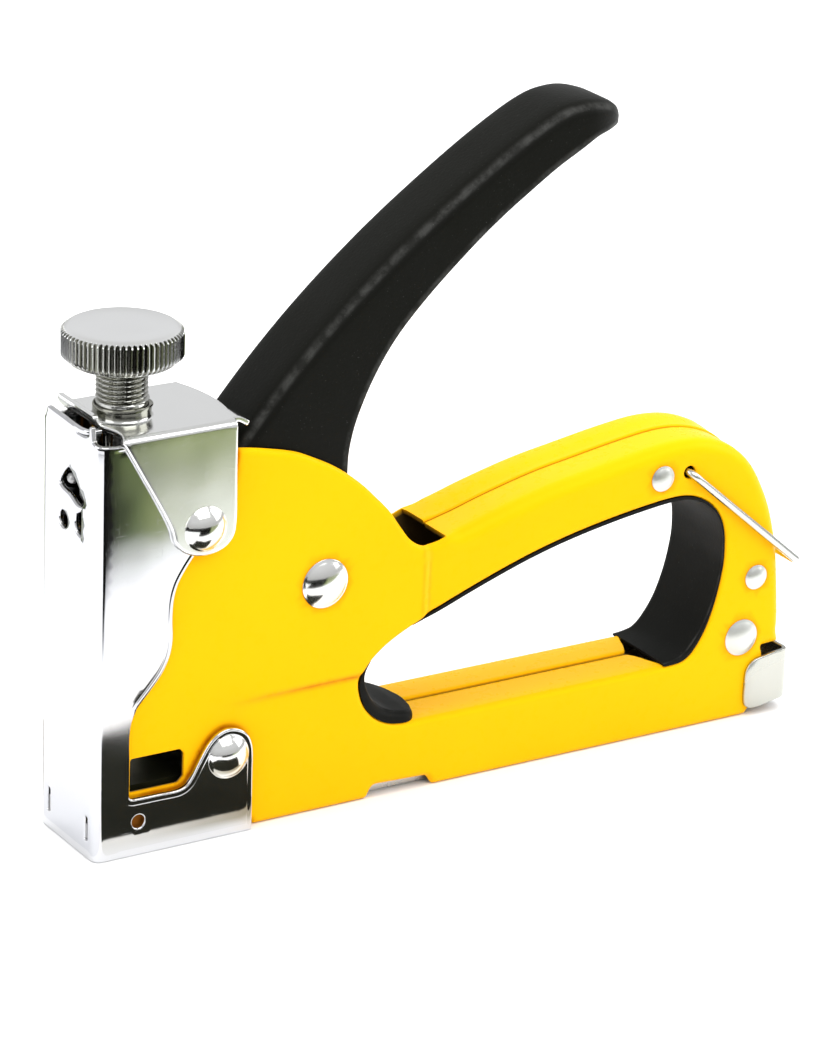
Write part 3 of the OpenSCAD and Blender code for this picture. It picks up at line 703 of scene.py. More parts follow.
def shell_mesh(lift=0.0, rise=0.0):
    out = outline(SHELL_OUT, 0.7)
    loop = outline(LOOP, 0.7, ccw=False)
    window = outline(WINDOW, 0.5, ccw=False)
    hole = circle2(130, 59.1, 1.4, 28)
    cheek = outline([p for p in CHEEK], 1.0)
    crease = cheek[(cheek[:, 0] < 67) & (cheek[:, 0] > -10) & (cheek[:, 1] < 56)]
    extra = []
    nc = normals2(cheek)
    for d in (-2.4, -1.6, -0.9, -0.3, 0.3, 0.9, 1.6):
        c = cheek + nc * d
        extra.append(c[(c[:, 0] < 67.5) & (c[:, 1] < 57)])
    covers = [outline([tuple(q[:2]) for q in NOSE_SIDE] + [(-9, 92), (-9, -2), (24.6, -2)], 0.8),
              outline(BRACKET_EDGE, 0.8)] + [circle2(x, z, rr, 40) for x, z, rr in HEADS]
    for c in covers:
        nc = normals2(c)
        for d in (-0.3, 0.2, 0.6, 1.1, 1.8):
            extra.append(c - nc * d)
    extra += [circle2(-1.0, 7.0, r, 20) for r in (0.7, 1.5, 2.3, 3.0)]
    dom = Domain([out, loop, window, hole],
                 [[0, .1, .35, .75, 1.25, 1.8, 2.4, 3.0], [0, .08, .3, .6, 1.0, 1.5], [0, .1, .3, .8], [0, .1, .3, .8]],
                 grid=2.2, extra=np.vstack(extra))
    p = dom.p
    d_out, d_loop, d_win, d_hole = dom.dist
    dc = seg_distance(p, cheek) * np.where(inside(p, [cheek]), 1, -1)
    w = half_width(p[:, 0], p[:, 1], dc)
    r = edge_radius(p[:, 0], p[:, 1])

    def roll(d, r):
        d = np.minimum(d, r)
        return r - np.sqrt(np.maximum(r * r - (r - d) ** 2, 0))
    y = w - roll(d_out, r) - roll(d_loop, np.full(len(p), 1.15))

    def raised(x, z, y):
        """The far pressing stands a little taller along its back."""
        return rise * smoothstep(70.6, 76, x) * smoothstep(151, 138, x) * smoothstep(50, 54, z) * smoothstep(0.5, 7.0, y)
    v = [np.stack([p[:, 0], -y, p[:, 1] + raised(p[:, 0], p[:, 1], y) * smoothstep(4.5, 2.0, d_out)], 1)]
    faces = [list(t) for t in dom.tris]
    n = len(p)
    # flanges turned in along the outside and round the finger loop
    extra_v, extra_cut = [], []
    base = n
    for ring, idx, kind in ((out, dom.index[0], "out"), (loop, dom.index[1], "loop")):
        x, z = ring[:, 0], ring[:, 1]
        if kind == "out":
            has = (x > 70.55) & (z > 15.4)
        else:
            has = np.ones(len(ring), bool)
        nrm = normals2(ring)
        gap = 0.08 if kind == "out" else 0.24
        top = y[idx]
        levels = [0.25, 0.5, 0.72, 0.88, 0.96, 1.0]
        cols = []
        for j in range(len(ring)):
            if not has[j]:
                cols.append(None)
                continue
            col = [idx[j]]
            for lv in levels:
                # behind the lower end of the liner the two flanges draw apart
                part = 8.6 * smoothstep(122.5, 127.5, x[j]) * smoothstep(137, 134, x[j]) * smoothstep(24, 19, z[j]) if kind == "loop" else 0.0
                inner_y = min(gap + part, top[j] - 0.3)
                yy = top[j] + (inner_y - top[j]) * lv
                bar = (kind == "loop") * smoothstep(60, 66, x[j]) * smoothstep(18, 16, z[j])
                back = 1.0 - smoothstep(148, 153, x[j]) * smoothstep(48, 42, z[j])
                out_by = lift * (back if kind == "out" else bar) * smoothstep(0.0, 0.35, lv)
                q = ring[j] - nrm[j] * out_by
                col.append(base + len(extra_v))
                extra_v.append((q[0], -yy, q[1] + (raised(q[0], q[1], yy) if kind == "out" else 0.0)))
                extra_cut.append(yy - inner_y)
            cols.append(col)
        m = len(ring)
        for j in range(m):
            a, b = cols[j], cols[(j + 1) % m]
            if a is None or b is None:
                continue
            for k in range(len(levels)):
                faces.append([a[k], a[k + 1], b[k + 1], b[k]])
    v = np.vstack([v[0], np.array(extra_v)])
    cut = np.concatenate([np.minimum(d_win, d_hole), np.array(extra_cut)])
    edge = np.concatenate([np.exp(-np.minimum(np.minimum(d_win, d_hole), np.minimum(np.abs(d_out - 0.5), np.abs(d_loop - 0.3))) / 0.5),
                           np.exp(-np.array(extra_cut) / 0.4)])
    delta = edge_drop(cut, 0.28)
    v2, f2 = thicken(v, faces, SHEET, delta)
    # painted shade: a dark red contact shadow against whatever covers the paint, along the creases and round the ear
    # hole
    rim = np.zeros(len(p))
    for c in covers:
        off = seg_distance(p, c) * np.where(inside(p, [c]), -1, 1)
        rim = np.maximum(rim, np.exp(-np.maximum(off, 0) / 0.32) * (off > -1.5))
    low = smoothstep(34, 31, p[:, 1])
    # painted shade lines along the creases of the cheek pressing
    line = 0.8 * np.exp(-((dc + 0.4) / 0.55) ** 2) * low * smoothstep(16, 44, p[:, 0])
    line += 0.28 * (np.exp(-((dc + 0.9) / 0.3) ** 2) + np.exp(-((dc - 0.9) / 0.3) ** 2)) * (1 - low) * (p[:, 0] > 60) * smoothstep(57, 53, p[:, 1])
    # painted shade round the ear hole
    spot = smoothstep(3.0, 2.2, np.hypot(p[:, 0] + 1.0, p[:, 1] - 7.0))
    rim = np.maximum(rim, spot)
    rim = np.concatenate([np.maximum(rim, line), np.zeros(len(v) - len(p))])
    hole_shade = 0.5 * smoothstep(3.0, 2.0, np.hypot(v[:, 0] + 1.0, v[:, 2] - 7.0))       # painted shade: half of the near-black inside colour round the ear hole
    # painted shade: the inner faces take the near-black inside colour, a little less towards the rear
    inner = 0.93 + 0.07 * (1 - smoothstep(30, 52, v[:, 0]))
    return v2, f2, {"edge": np.concatenate([edge, edge]), "inside": np.concatenate([hole_shade, inner]), "rim": np.concatenate([rim, rim * 0])}


sv, sf, sa = shell_mesh()
build("left_handle_shell", sv, sf, MAT["yellow_paint"], "frame", ["left_shell"], 42, sa)
sv, sf, sa = shell_mesh(0.4, 0.8)
sv, sf = mirror_y(sv, sf)
build("right_handle_shell", sv, sf, MAT["yellow_paint"], "frame", ["right_shell"], 42, sa)


# ---------------------------------------------------------------------------
# Nose: one sheet folded round the front, with its ears, notch and openings
# ---------------------------------------------------------------------------

NOSE_W, NOSE_F, NOSE_R = 11.9, 11.5, 2.0
U_FLAT = NOSE_W - NOSE_R
U_SIDE = U_FLAT + NOSE_R * math.pi / 2           # unrolled distance at which the side begins, at x = -9.5


def wrap_nose(u, z):
    """Unrolled (u, z) to the folded sheet; u > 0 is the near side."""
    s, a = np.sign(u), np.abs(u)
    th = np.clip((a - U_FLAT) / NOSE_R, 0, math.pi / 2)
    x = np.where(a < U_SIDE, -NOSE_F + NOSE_R * (1 - np.cos(th)), -NOSE_F + NOSE_R + (a - U_SIDE))
    y = np.where(a < U_FLAT, u, s * (U_FLAT + NOSE_R * np.sin(th)))
    return np.stack([x, -y, z], 1)


def unroll(x):
    return x + NOSE_F - NOSE_R + U_SIDE


def nose_mesh():
    near = [(unroll(p[0]),) + tuple(p[1:]) for p in NOSE_SIDE]
    far = [(-p[0],) + tuple(p[1:]) for p in near[::-1]]
    top = [(unroll(-7.2), 88.0, .3), (U_SIDE - 0.6, 88.35), (U_FLAT + 0.6, 88.6), (9.5, 88.9, .3), (9.2, 90.4), (8.9, 91.7, .3), (8.0, 91.6, .3), (7.9, 89.9, .3),
           (7.0, 89.2), (3.2, 88.9, .3), (2.5, 90.0, .5), (-4, 90.3), (-9.6, 90.5, .9), (-10.2, 88.2, .4), (-unroll(-7.2), 88.0, .3)]
    out = outline(near + top + far, 0.8)
    tear = outline([(-4.3, 76.2), (-2.2, 79.2), (-0.4, 80.3), (1.6, 79.3), (4.4, 76.9), (5.8, 75.3), (5.0, 74.1), (3, 73.9), (0, 75.0), (-3.0, 75.5)], 0.35, ccw=False)
    dee = outline([(2.6, 71.7, .3), (4.9, 73.0, .3), (4.9, 67.5, .3), (3.1, 68.3), (2.4, 70)], 0.35, ccw=False)
    hole = circle2(-2.4, 69, 1.8, 32)
    loops = [out, tear, dee, hole]
    for s in (1, -1):
        q = outline([(s * 8 - .55, 4, .3), (s * 8 + .55, 4, .3), (s * 8 + .55, 9, .3), (s * 8 - .55, 9, .3)], 0.6, ccw=False)
        loops.append(q)
        loops.append(circle2(s * unroll(-1.6), 7.4, 1.4, 28))
    cols = []
    for s in (1, -1):
        for k in range(0, 11):
            a = s * (U_FLAT + (U_SIDE - U_FLAT) * k / 10)
            cols += [(a, z) for z in np.arange(0.8, 88, 1.6)]
    dom = Domain(loops, [[0, .08, .2, .42, .8, 1.0, 1.15, 1.3, 1.5]] + [[0, .08, .2, .42]] * (len(loops) - 1), grid=1.7, extra=np.array(cols),
                 clear=lambda g: (np.abs(g[:, 0]) > U_FLAT - 0.9) & (np.abs(g[:, 0]) < U_SIDE + 0.9))
    v = wrap_nose(dom.p[:, 0], dom.p[:, 1])
    d = np.min(dom.dist, axis=0)
    # the front is dished very slightly round the pressed opening and along a fold line under it
    u, z = dom.p[:, 0], dom.p[:, 1]
    dt = dom.dist[1]
    dish = 0.13 * np.exp(-(dt / 1.5) ** 2) * (np.abs(u) < 10)
    dish += 0.10 * np.exp(-((u - 4.8) / 0.55) ** 2) * smoothstep(30, 66, z) * (z < 72)
    v[:, 0] += dish * np.where(np.abs(u) < U_FLAT, 1, 0)
    f = [list(t) for t in dom.tris]
    # a wide bevel, and a faint pressed line just inside it
    crisp = smoothstep(unroll(-2.0), unroll(-3.0), np.abs(u)) * smoothstep(12.9, 13.6, z) * smoothstep(35, 31, z)      # sheared edge beside the window
    groove = 0.07 * np.exp(-((dom.dist[0] - 1.15) / 0.2) ** 2) * (np.abs(u) > U_SIDE + 3) * (1 - crisp)
    v2, f2 = thicken(v, f, 1.2, edge_drop(d, 0.42 - 0.34 * crisp) + groove)
    e = np.exp(-d / 0.35)
    return v2, f2, np.concatenate([e, e])


nv, nf, ne = nose_mesh()
# the corner of the front rim is turned back, and a steel ball is staked in the pressed opening
tab_path = [(-11.0, -1.9), (-11.0, -2.9), (-10.9, -4.2), (-10.4, -5.6), (-9.5, -6.3), (-8.0, -6.5)]


def wall(path, z0, z1, t, r=0.25):
    """An upright strip that follows a plan path, with rounded edges."""
    p = np.array(spline_run(path, 0.35))
    tang = np.gradient(p, axis=0)
    tang /= np.linalg.norm(tang, axis=1)[:, None]
    nrm = np.stack([-tang[:, 1], tang[:, 0]], 1)
    sec = []
    for cx, cz, a0 in ((t / 2 - r, z0 + r, -90), (t / 2 - r, z1 - r, 0), (-t / 2 + r, z1 - r, 90), (-t / 2 + r, z0 + r, 180)):
        for k in range(4):
            a = math.radians(a0 + 30 * k)
            sec.append((cx + r * math.cos(a), cz + r * math.sin(a)))
    m = len(sec)
    verts, faces = [], []
    for i in range(len(p)):
        for a, z in sec:
            verts.append((p[i, 0] + nrm[i, 0] * a, p[i, 1] + nrm[i, 1] * a, z))
    for i in range(len(p) - 1):
        for k in range(m):
            l = (k + 1) % m
            faces.append([i * m + k, (i + 1) * m + k, (i + 1) * m + l, i * m + l])
    faces.append(list(range(m)))
    faces.append([(len(p) - 1) * m + k for k in range(m)][::-1])
    return np.array(verts), faces


def outward(v, faces):
    """Turns a closed mesh so that its normals face outward."""
    v = np.asarray(v, float)
    vol = 0.0
    for f in faces:
        for k in range(1, len(f) - 1):
            vol += np.dot(v[f[0]], np.cross(v[f[k]], v[f[k + 1]]))
    return (v, faces) if vol > 0 else (v, [list(f)[::-1] for f in faces])


tv, tf = outward(*wall(tab_path, 89.0, 90.1, 1.0))
nv, nf = merge((nv, nf), (tv, tf))
build("nose_sheet", nv, nf, MAT["chrome_plate"], "frame", ["nose_housing"], 34,
      {"edge": np.concatenate([ne, np.zeros(len(tv))])})

ball = [(0, -1.15), (0.6, -1.0), (1.0, -0.6), (1.15, 0), (1.0, 0.6), (0.6, 1.0), (0, 1.15)]
bv, bf = lathe([(r, h) for r, h in ball], 24, (-10.3, 0.6, 78.0), "x")
pv, pf = lathe([(0, -0.2), (1.35, -0.2), (1.5, 0), (1.5, 0.9), (0, 0.9)], 24, (-9.6, -2.6, 75.6), "x")
bv, bf = merge(outward(bv, bf), outward(pv, pf))
build("staked_pin", bv, bf, MAT["bare_steel"], "frame", (), 40, {"edge": np.zeros(len(bv))})


# ---------------------------------------------------------------------------
# Saddle bracket over the nose, with its collar and lips
# ---------------------------------------------------------------------------

BR_W, BR_TOP, BR_R, BR_T = 13.2, 89.8, 1.5, 1.2
V_FLAT = BR_W - BR_R
V_SIDE = V_FLAT + BR_R * math.pi / 2


def wrap_bracket(v, x):
    s, a = np.sign(v), np.abs(v)
    th = np.clip((a - V_FLAT) / BR_R, 0, math.pi / 2)
    y = np.where(a < V_FLAT, a, V_FLAT + BR_R * np.sin(th))
    z = np.where(a < V_SIDE, BR_TOP - BR_R * (1 - np.cos(th)), BR_TOP - BR_R - (a - V_SIDE))
    return np.stack([x, -s * y, z], 1)


def bracket_mesh():
    dz = lambda z: V_SIDE + (BR_TOP - BR_R - z)
    near = [(3.4, -6.6, .3), (9.0, -5.4), (V_FLAT + 1.6, -6.5, .4), (dz(68.9), 4.5), (dz(66.4), 5.2), (dz(64.4), 6.5), (dz(63.1), 8.7), (dz(62.5), 11.8),
            (dz(62.9), 15), (dz(63.9), 17), (dz(65.6), 18.4), (dz(67.8), 18.9), (dz(80), 18.9), (V_SIDE, 18.9), (12, 18.95), (8, 20.1), (3, 20.95)]
    far = [(-p[0],) + tuple(p[1:]) for p in near[1:][::-1]]
    out = outline([near[0]] + near[1:] + far + [(-12, -6.6, .3)][:0], 0.8)
    ring = circle2(0, 0, 6.3, 64)
    cols = []
    for s in (1, -1):
        for k in range(0, 13):
            a = s * (V_FLAT + (V_SIDE - V_FLAT) * k / 12)
            cols += [(a, x) for x in np.arange(-6, 20, 1.5)]
    dom = Domain([out, ring], [[0, .08, .2, .4, .8], [0]], grid=1.8, extra=np.array(cols),
                 clear=lambda g: (np.abs(g[:, 0]) > V_FLAT - 0.9) & (np.abs(g[:, 0]) < V_SIDE + 0.9))
    v = wrap_bracket(dom.p[:, 0], dom.p[:, 1])
    d = dom.dist[0]
    f = [list(t) for t in dom.tris]
    v2, f2 = thicken(v, f, BR_T, edge_drop(d, 0.4))
    e = np.exp(-d / 0.4)
    return v2, f2, np.concatenate([e, e])


def bent(path, half, y0, y1, t, r=0.3, round_far=1.5):
    """A strip bent along a side path, t thick, from y0 to y1, with rounded edges and free corners."""
    p = np.array(spline_run(path, 0.3))
    s = np.concatenate([[0], np.cumsum(np.linalg.norm(np.diff(p, axis=0), axis=1))])
    L = s[-1]
    out = outline([(0, y0, .02), (L, y0, round_far), (L, y1, round_far), (0, y1, .02)], 0.5)
    dom = Domain([out], [[0, .07, .16, .3]], grid=0.8)
    px, pz = np.interp(dom.p[:, 0], s, p[:, 0]), np.interp(dom.p[:, 0], s, p[:, 1])
    v = np.stack([px, dom.p[:, 1], pz], 1)
    d = dom.dist[0]
    vv, ff = thicken(v, [list(q) for q in dom.tris], t, edge_drop(d, r))
    return outward(vv, ff)


kv, kf, ke = bracket_mesh()
kv, kf = outward(kv, kf)
lip = bent([(-4.8, 88.72), (-5.9, 88.80), (-6.8, 89.15), (-7.45, 89.8), (-7.8, 90.6), (-7.85, 91.2), (-7.85, 91.7)], 0, -3.1, 12.2, 1.1, 0.25, 0.8)
tail = bent([(18.4, 89.8), (20.2, 89.75), (21.2, 89.3), (22.7, 88.3)], 0, -11.3, -5.2, 1.15, 0.25, 0.5)
col_prof = [(6.6, 88.6), (6.55, 89.7), (6.2, 89.85), (5.95, 90.1), (5.82, 90.5), (5.78, 91.6), (5.80, 92.1), (5.70, 92.35), (5.5, 92.4), (5.36, 92.2), (5.36, 88.6)]
flare = lambda r, h, a: r + (0.42 * math.exp(-((a - 5.75) / 0.38) ** 2) * max(0.0, min(1.0, (h - 91.2) / 0.8)) if r > 5.4 else 0.0)
cv, cf = lathe(col_prof + [col_prof[0]], 72, wobble=flare)
kv, kf = merge((kv, kf), lip, tail, outward(cv, cf))
# painted shade: the collar is darkened above the plate
build("bracket_saddle", kv, kf, MAT["bracket_plate"], "frame", ["top_bracket"], 34,
      {"edge": np.concatenate([ke, np.zeros(len(kv) - len(ke))]),
       "dark": np.concatenate([np.zeros(len(kv) - len(cv)), 0.92 * smoothstep(89.9, 90.4, cv[:, 2])])})


# ---------------------------------------------------------------------------
# Adjuster: knurled knob on a threaded stem
# ---------------------------------------------------------------------------

def knob_mesh():
    teeth, per = 66, 8
    segs = teeth * per
    a = np.arange(segs) * 2 * math.pi / segs
    ph = (np.arange(segs) % per) / per
    tooth = np.abs(ph - 0.5) * 2                      # 0 in a groove, 1 on a crest
    tooth = np.clip(tooth * 1.6 - 0.45, 0, 1)
    rows = []

    def ring(radius, z):
        rows.append((np.broadcast_to(radius, a.shape).astype(float), z))

    R0, z0, z1, depth = 12.2, 101.0, 108.35, 0.85
    ring(4.6, z0 + 0.5)
    ring(9.0, z0 + 0.1)
    ring(9.8, z0)
    # lower chamfer: the grooves run out on it in points
    for k in range(6):
        t = k / 5
        rr, zz = 10.5 + (R0 - 10.5) * t, z0 + 0.05 + 1.5 * t
        ring(np.minimum(rr, R0 - depth * (1 - tooth)), zz)
    ring(R0 - depth * (1 - tooth), z0 + 2.6)
    ring(R0 - depth * (1 - tooth), z1 - 1.5)
    # upper chamfer and its shoulder
    for rr, zz in ((R0, z1 - 1.15), (R0 - 0.25, z1 - 0.9), (R0 - 0.5, z1 - 0.7), (R0 - 0.8, z1 - 0.5), (R0 - 1.15, z1 - 0.25),
                   (R0 - 1.5, z1 - 0.07), (R0 - 1.9, z1)):
        ring(np.minimum(rr, R0 - depth * (1 - tooth)), zz)
    ring(6.0, z1 + 0.0)
    ring(3.0, z1 - 0.02)
    verts, faces = [], []
    for rad, z in rows:
        verts.append(np.stack([rad * np.cos(a), rad * np.sin(a), np.full(segs, z)], 1))
    base = np.vstack(verts)
    for i in range(len(rows) - 1):
        for k in range(segs):
            m = (k + 1) % segs
            faces.append([i * segs + k, i * segs + m, (i + 1) * segs + m, (i + 1) * segs + k])
    n = len(base)
    base = np.vstack([base, [[0, 0, z1 - 0.02], [0, 0, 101.5]]])
    for k in range(segs):
        m = (k + 1) % segs
        faces.append([(len(rows) - 1) * segs + k, (len(rows) - 1) * segs + m, n])
        faces.append([m, k, n + 1])
    # painted shade: the grooves are darkened and the crests left bright
    dark = np.concatenate([0.96 * np.clip(1.5 - 1.5 * tooth, 0, 1) * (z0 + 0.2 < z < z1 - 0.6) for r, z in rows] + [np.zeros(2)])
    return base, faces, dark


def thread_mesh():
    """Threaded stem from z 77 to 101, with a plain collar at its foot and a flared last turn."""
    segs, pitch = 72, 1.0
    z = np.concatenate([[77.0, 77.5], np.arange(78.0, 101.31, 0.125)])
    a = np.arange(segs) * 2 * math.pi / segs
    Z, A = np.meshgrid(z, a, indexing="ij")
    ph = ((Z - 91.0) / pitch - A / (2 * math.pi)) % 1.0
    tri = np.abs(ph - 0.5) * 2
    groove = 0.52 * np.clip(1.5 * tri - 0.2, 0, 1)
    turns = (Z - 92.4) / pitch - A / (2 * math.pi)          # height above the first turn
    on = smoothstep(-0.15, 0.35, turns) * (1 - smoothstep(100.55, 100.9, Z))
    below = 1 - smoothstep(76.0, 90.0, Z)
    radius = 5.2 - groove * on
    flare = np.exp(-((turns - 0.35) / 0.30) ** 2) * smoothstep(4.2, 5.6, A) * 0.42
    radius = radius + flare
    radius = np.where(Z < 91.4, 5.15, radius)
    radius = np.where(Z < 77.6, 4.8, radius)
    # the neck under the knob
    radius = np.where(Z > 100.75, 4.75, radius)
    v = np.stack([radius * np.cos(A), radius * np.sin(A), Z], 2).reshape(-1, 3)
    faces = []
    for i in range(len(z) - 1):
        for k in range(segs):
            m = (k + 1) % segs
            faces.append([i * segs + k, i * segs + m, (i + 1) * segs + m, (i + 1) * segs + k])
    n = len(v)
    v = np.vstack([v, [[0, 0, 77.0], [0, 0, 101.3]]])
    for k in range(segs):
        m = (k + 1) % segs
        faces.append([m, k, n])
        faces.append([(len(z) - 1) * segs + k, (len(z) - 1) * segs + m, n + 1])
    return v, faces


ov, of_, oe = knob_mesh()
hv, hf = thread_mesh()
av, af = merge((ov, of_), (hv, hf))
# painted shade: the threaded stem is darkened, most in its grooves
build("adjuster_knob", av, af, MAT["knob_plate"], "adjuster", ["adjuster_screw"], 30,
      {"edge": np.zeros(len(av)), "dark": np.concatenate([oe, 0.62 + 0.36 * np.clip((5.15 - np.hypot(hv[:, 0], hv[:, 1])) / 0.3, 0, 1)])})


# ---------------------------------------------------------------------------
# Rivets
# ---------------------------------------------------------------------------

def rivet_head(x, z, y, r, h, rim=0.3):
    """A domed head that stands out from |y| along -Y, with a small rolled foot."""
    big = (r * r + h * h) / (2 * h)
    prof = [(0, h)]
    for k in range(1, 15):
        rr = (r - rim) * k / 14
        prof.append((rr, h - (big - math.sqrt(max(big * big - rr * rr, 0)))))
    zz = prof[-1][1]
    prof += [(r - 0.10, zz * 0.72), (r, zz * 0.40), (r - 0.03, 0.05), (r - 0.25, -0.12), (r * 0.55, -0.3), (0, -0.3)]
    v, f = lathe(prof[::-1], 48, (x, -y, z), "-y")
    return outward(v, f)


def rivet_pair(x, z, y, r, h, shank):
    a = rivet_head(x, z, y, r, h)
    b = mirror_y(*a)
    s = outward(*lathe([(0, -y), (shank, -y), (shank, y), (0, y)], 32, (x, 0, z), "y"))
    return a, b, s


def rivets(name, parts, node, plating="rivet_plate"):
    v, f = merge(*parts)
    build(name, v, f, MAT[plating], "frame", [node], 50, {"edge": np.zeros(len(v))})


rivets("pivot_rivet_heads", rivet_pair(41.1, 50.4, 10.6, 5.25, 1.6, 3.5), "pivot_rivet")
rivets("ear_rivet_heads", rivet_pair(18.8, 17.4, 11.9, 4.65, 2.0, 2.2), "ear_rivet")
brk = rivet_head(11.9, 68.2, 13.2, 4.7, 2.1)
stub = outward(*lathe([(0, -13.2), (2.4, -13.2), (2.4, -9.2), (0, -9.2)], 32, (11.8, 0, 68), "y"))
rivets("bracket_rivet_heads", [brk, mirror_y(*brk), stub, mirror_y(*stub)], "bracket_rivets")
rear = []
for x, z, r, h, shank in ((123.2, 58.8, 2.8, .85, 1.6), (148.9, 32, 2.75, .85, 1.6), (145.9, 18.6, 4.1, 1.15, 2.4)):
    rear += list(rivet_pair(x, z, SHELL_W, r, h, shank))
rivets("handle_rivet_heads", rear, "rear_rivets", "satin_rivet")


# ---------------------------------------------------------------------------
# Lever grip: a hollow plastic cover over the steel core
# ---------------------------------------------------------------------------

COVER = [(20.8, 80.6, .8), (25.4, 86.3), (34, 95.9), (44, 105.7), (57.2, 116.9), (70.7, 126.8), (84, 135.5), (93.6, 140.7), (98.2, 142.2),
    (103.4, 142.5), (107.8, 141.5), (110.8, 139.8), (112.3, 138.1), (112.5, 137.0), (111.5, 136.1), (108, 135.4), (104.5, 134.7),
    (100.8, 132.9), (95.2, 129.9), (88.4, 125.5), (81.6, 120.8), (75, 115.6), (65, 106.7), (58.4, 99.7), (54.4, 94), (51.3, 88.2),
    (48.8, 81.9), (47.6, 76.4), (47.4, 71, .8), (38, 66, 1), (27, 70, .8)]


GRIP_W = 8.9


def tip_width(x):
    t = np.clip((np.asarray(x, float) - 101.5) / 12.0, 0, 1)
    return GRIP_W * np.sqrt(np.maximum(1 - t ** 2.2, 0.0009))


def cover_mesh():
    out = outline(COVER, 0.8)
    n = len(out)
    tip = int(np.argmax(out[:, 0]))
    a = int(np.argmin(np.hypot(out[:, 0] - 20.8, out[:, 1] - 80.9)))
    b = int(np.argmin(np.hypot(out[:, 0] - 47.4, out[:, 1] - 71.6)))
    kind = np.zeros(n, int)                        # 1 along the back of the grip, 2 along its underside
    i = tip
    while i != a:
        kind[i] = 1
        i = (i + 1) % n
    kind[a] = 1
    i = b
    while i != tip:
        kind[i] = 2
        i = (i + 1) % n
    if (kind == 1).sum() > 0.75 * n or (kind == 1).sum() < 20:
        raise RuntimeError("outline order")
    back = out[np.r_[[j % n for j in range(tip, tip + ((a - tip) % n) + 1)]]]
    xs = np.linspace(100, 113.3, 26)
    extra = np.array([(x, z) for x in xs for z in np.arange(133, 143, 0.7)])
    dom = Domain([out], [[0, .1, .35, .75, 1.25, 1.9, 2.6, 3.3]], grid=2.4, extra=extra)
    p, d = dom.p, dom.dist[0]
    q = np.hypot(p[:, None, 0] - back[None, :, 0], p[:, None, 1] - back[None, :, 1]).min(1)
    near_back = 1 - smoothstep(0.2, 1.6, q - d)
    r = 0.9 + 2.1 * near_back + 0.9 * smoothstep(98, 110, p[:, 0]) * (1 - near_back)
    dd = np.minimum(d, r)
    roll = r - np.sqrt(np.maximum(r * r - (r - dd) ** 2, 0))
    W = tip_width(p[:, 0])
    y = W * (1 - roll / GRIP_W)
    verts = [tuple(t) for t in np.stack([p[:, 0], -y, p[:, 1]], 1)]
    faces = [list(t) for t in dom.tris]
    idx = dom.index[0]
    nrm = normals2(out)
    cols = []
    cut = np.minimum(np.full(len(p), 9.0), 9.0)
    cut[:] = 9.0
    extra_cut = []
    for j in range(n):
        if kind[j] == 0:
            cols.append(None)
            continue
        top = y[idx[j]]
        lip = 0.0 if kind[j] == 1 else max(0.0, (top - 1.7) * (1 - float(smoothstep(96, 103, out[j, 0]))))
        col = [idx[j]]
        for lv in (0.2, 0.45, 0.7, 0.88, 1.0):
            yy = top + (lip - top) * lv
            crown = 0.25 * (1 - (yy / GRIP_W) ** 2) * (top / GRIP_W) if kind[j] == 1 else 0.0
            col.append(len(verts))
            verts.append((out[j, 0] - nrm[j, 0] * crown, -yy, out[j, 1] - nrm[j, 1] * crown))
            extra_cut.append(yy - lip if lip > 0.05 else 9.0)
        cols.append(col)
    for j in range(n):
        u, w = cols[j], cols[(j + 1) % n]
        if u is None or w is None:
            continue
        for k in range(5):
            faces.append([u[k], u[k + 1], w[k + 1], w[k]])
    v = np.array(verts)
    base = (v, faces)
    both = merge(base, mirror_y(*base))
    # join the halves along the middle plane
    v, f = both
    m = len(verts)
    owner = np.arange(len(v))
    flat = np.where(np.abs(v[:m, 1]) < 1e-6)[0]
    owner[flat + m] = flat
    v[flat, 1] = 0
    f = [[int(owner[x]) for x in g] for g in f]
    used = np.unique([x for g in f for x in g])
    remap = -np.ones(len(v), int)
    remap[used] = np.arange(len(used))
    f = [[int(remap[x]) for x in g] for g in f]
    cutd = np.concatenate([cut, extra_cut, cut, extra_cut])[used]
    dist = np.concatenate([np.concatenate([d, np.zeros(len(extra_cut))])] * 2)[used]
    v = v[used]
    nose = tip_width(v[:, 0]) / GRIP_W
    t = 1.4 * np.clip(nose, 0.15, 1)
    v2, f2 = thicken(v, f, t, edge_drop(cutd, 0.3))
    near = np.exp(-np.abs(dist - 1.0) / 0.9)
    return v2, f2, np.concatenate([near, near * 0])


gv, gf, ge = cover_mesh()
gv = gv + np.array([-0.4, 0, 0.25])
build("lever_grip", gv, gf, MAT["lever_plastic"], "lever", ["lever_cover"], 45, {"edge": ge})


# ---------------------------------------------------------------------------
# Finger loop liner, rear cap, bail and springs
# ---------------------------------------------------------------------------

LINER = [(66.4, 15.5), (63.4, 15.5), (60.6, 15.6), (58.2, 16.0), (55.8, 17.0), (53.5, 18.8), (51.8, 21.1), (50.8, 23.7), (50.5, 26), (51, 28.2), (52.4, 30.4),
    (54.4, 32.3), (57.2, 34.3), (60.4, 36), (65.4, 38.2), (77, 42.7), (90.4, 47.2), (100, 49.7), (109.6, 51.6), (118, 52.9), (125.2, 53.7),
    (129, 53.7), (131.6, 53.2), (134, 52.2), (136.2, 50.7), (138.1, 48.6), (139.4, 46.1), (140.1, 43.2), (140.3, 40.4), (140.3, 37.2),
    (139.8, 33.6), (138.9, 29.4), (137.7, 25.4), (136.3, 22.0), (134.5, 19.0), (132.8, 17.0), (130.9, 15.85), (128.4, 15.5), (126.2, 15.5)]


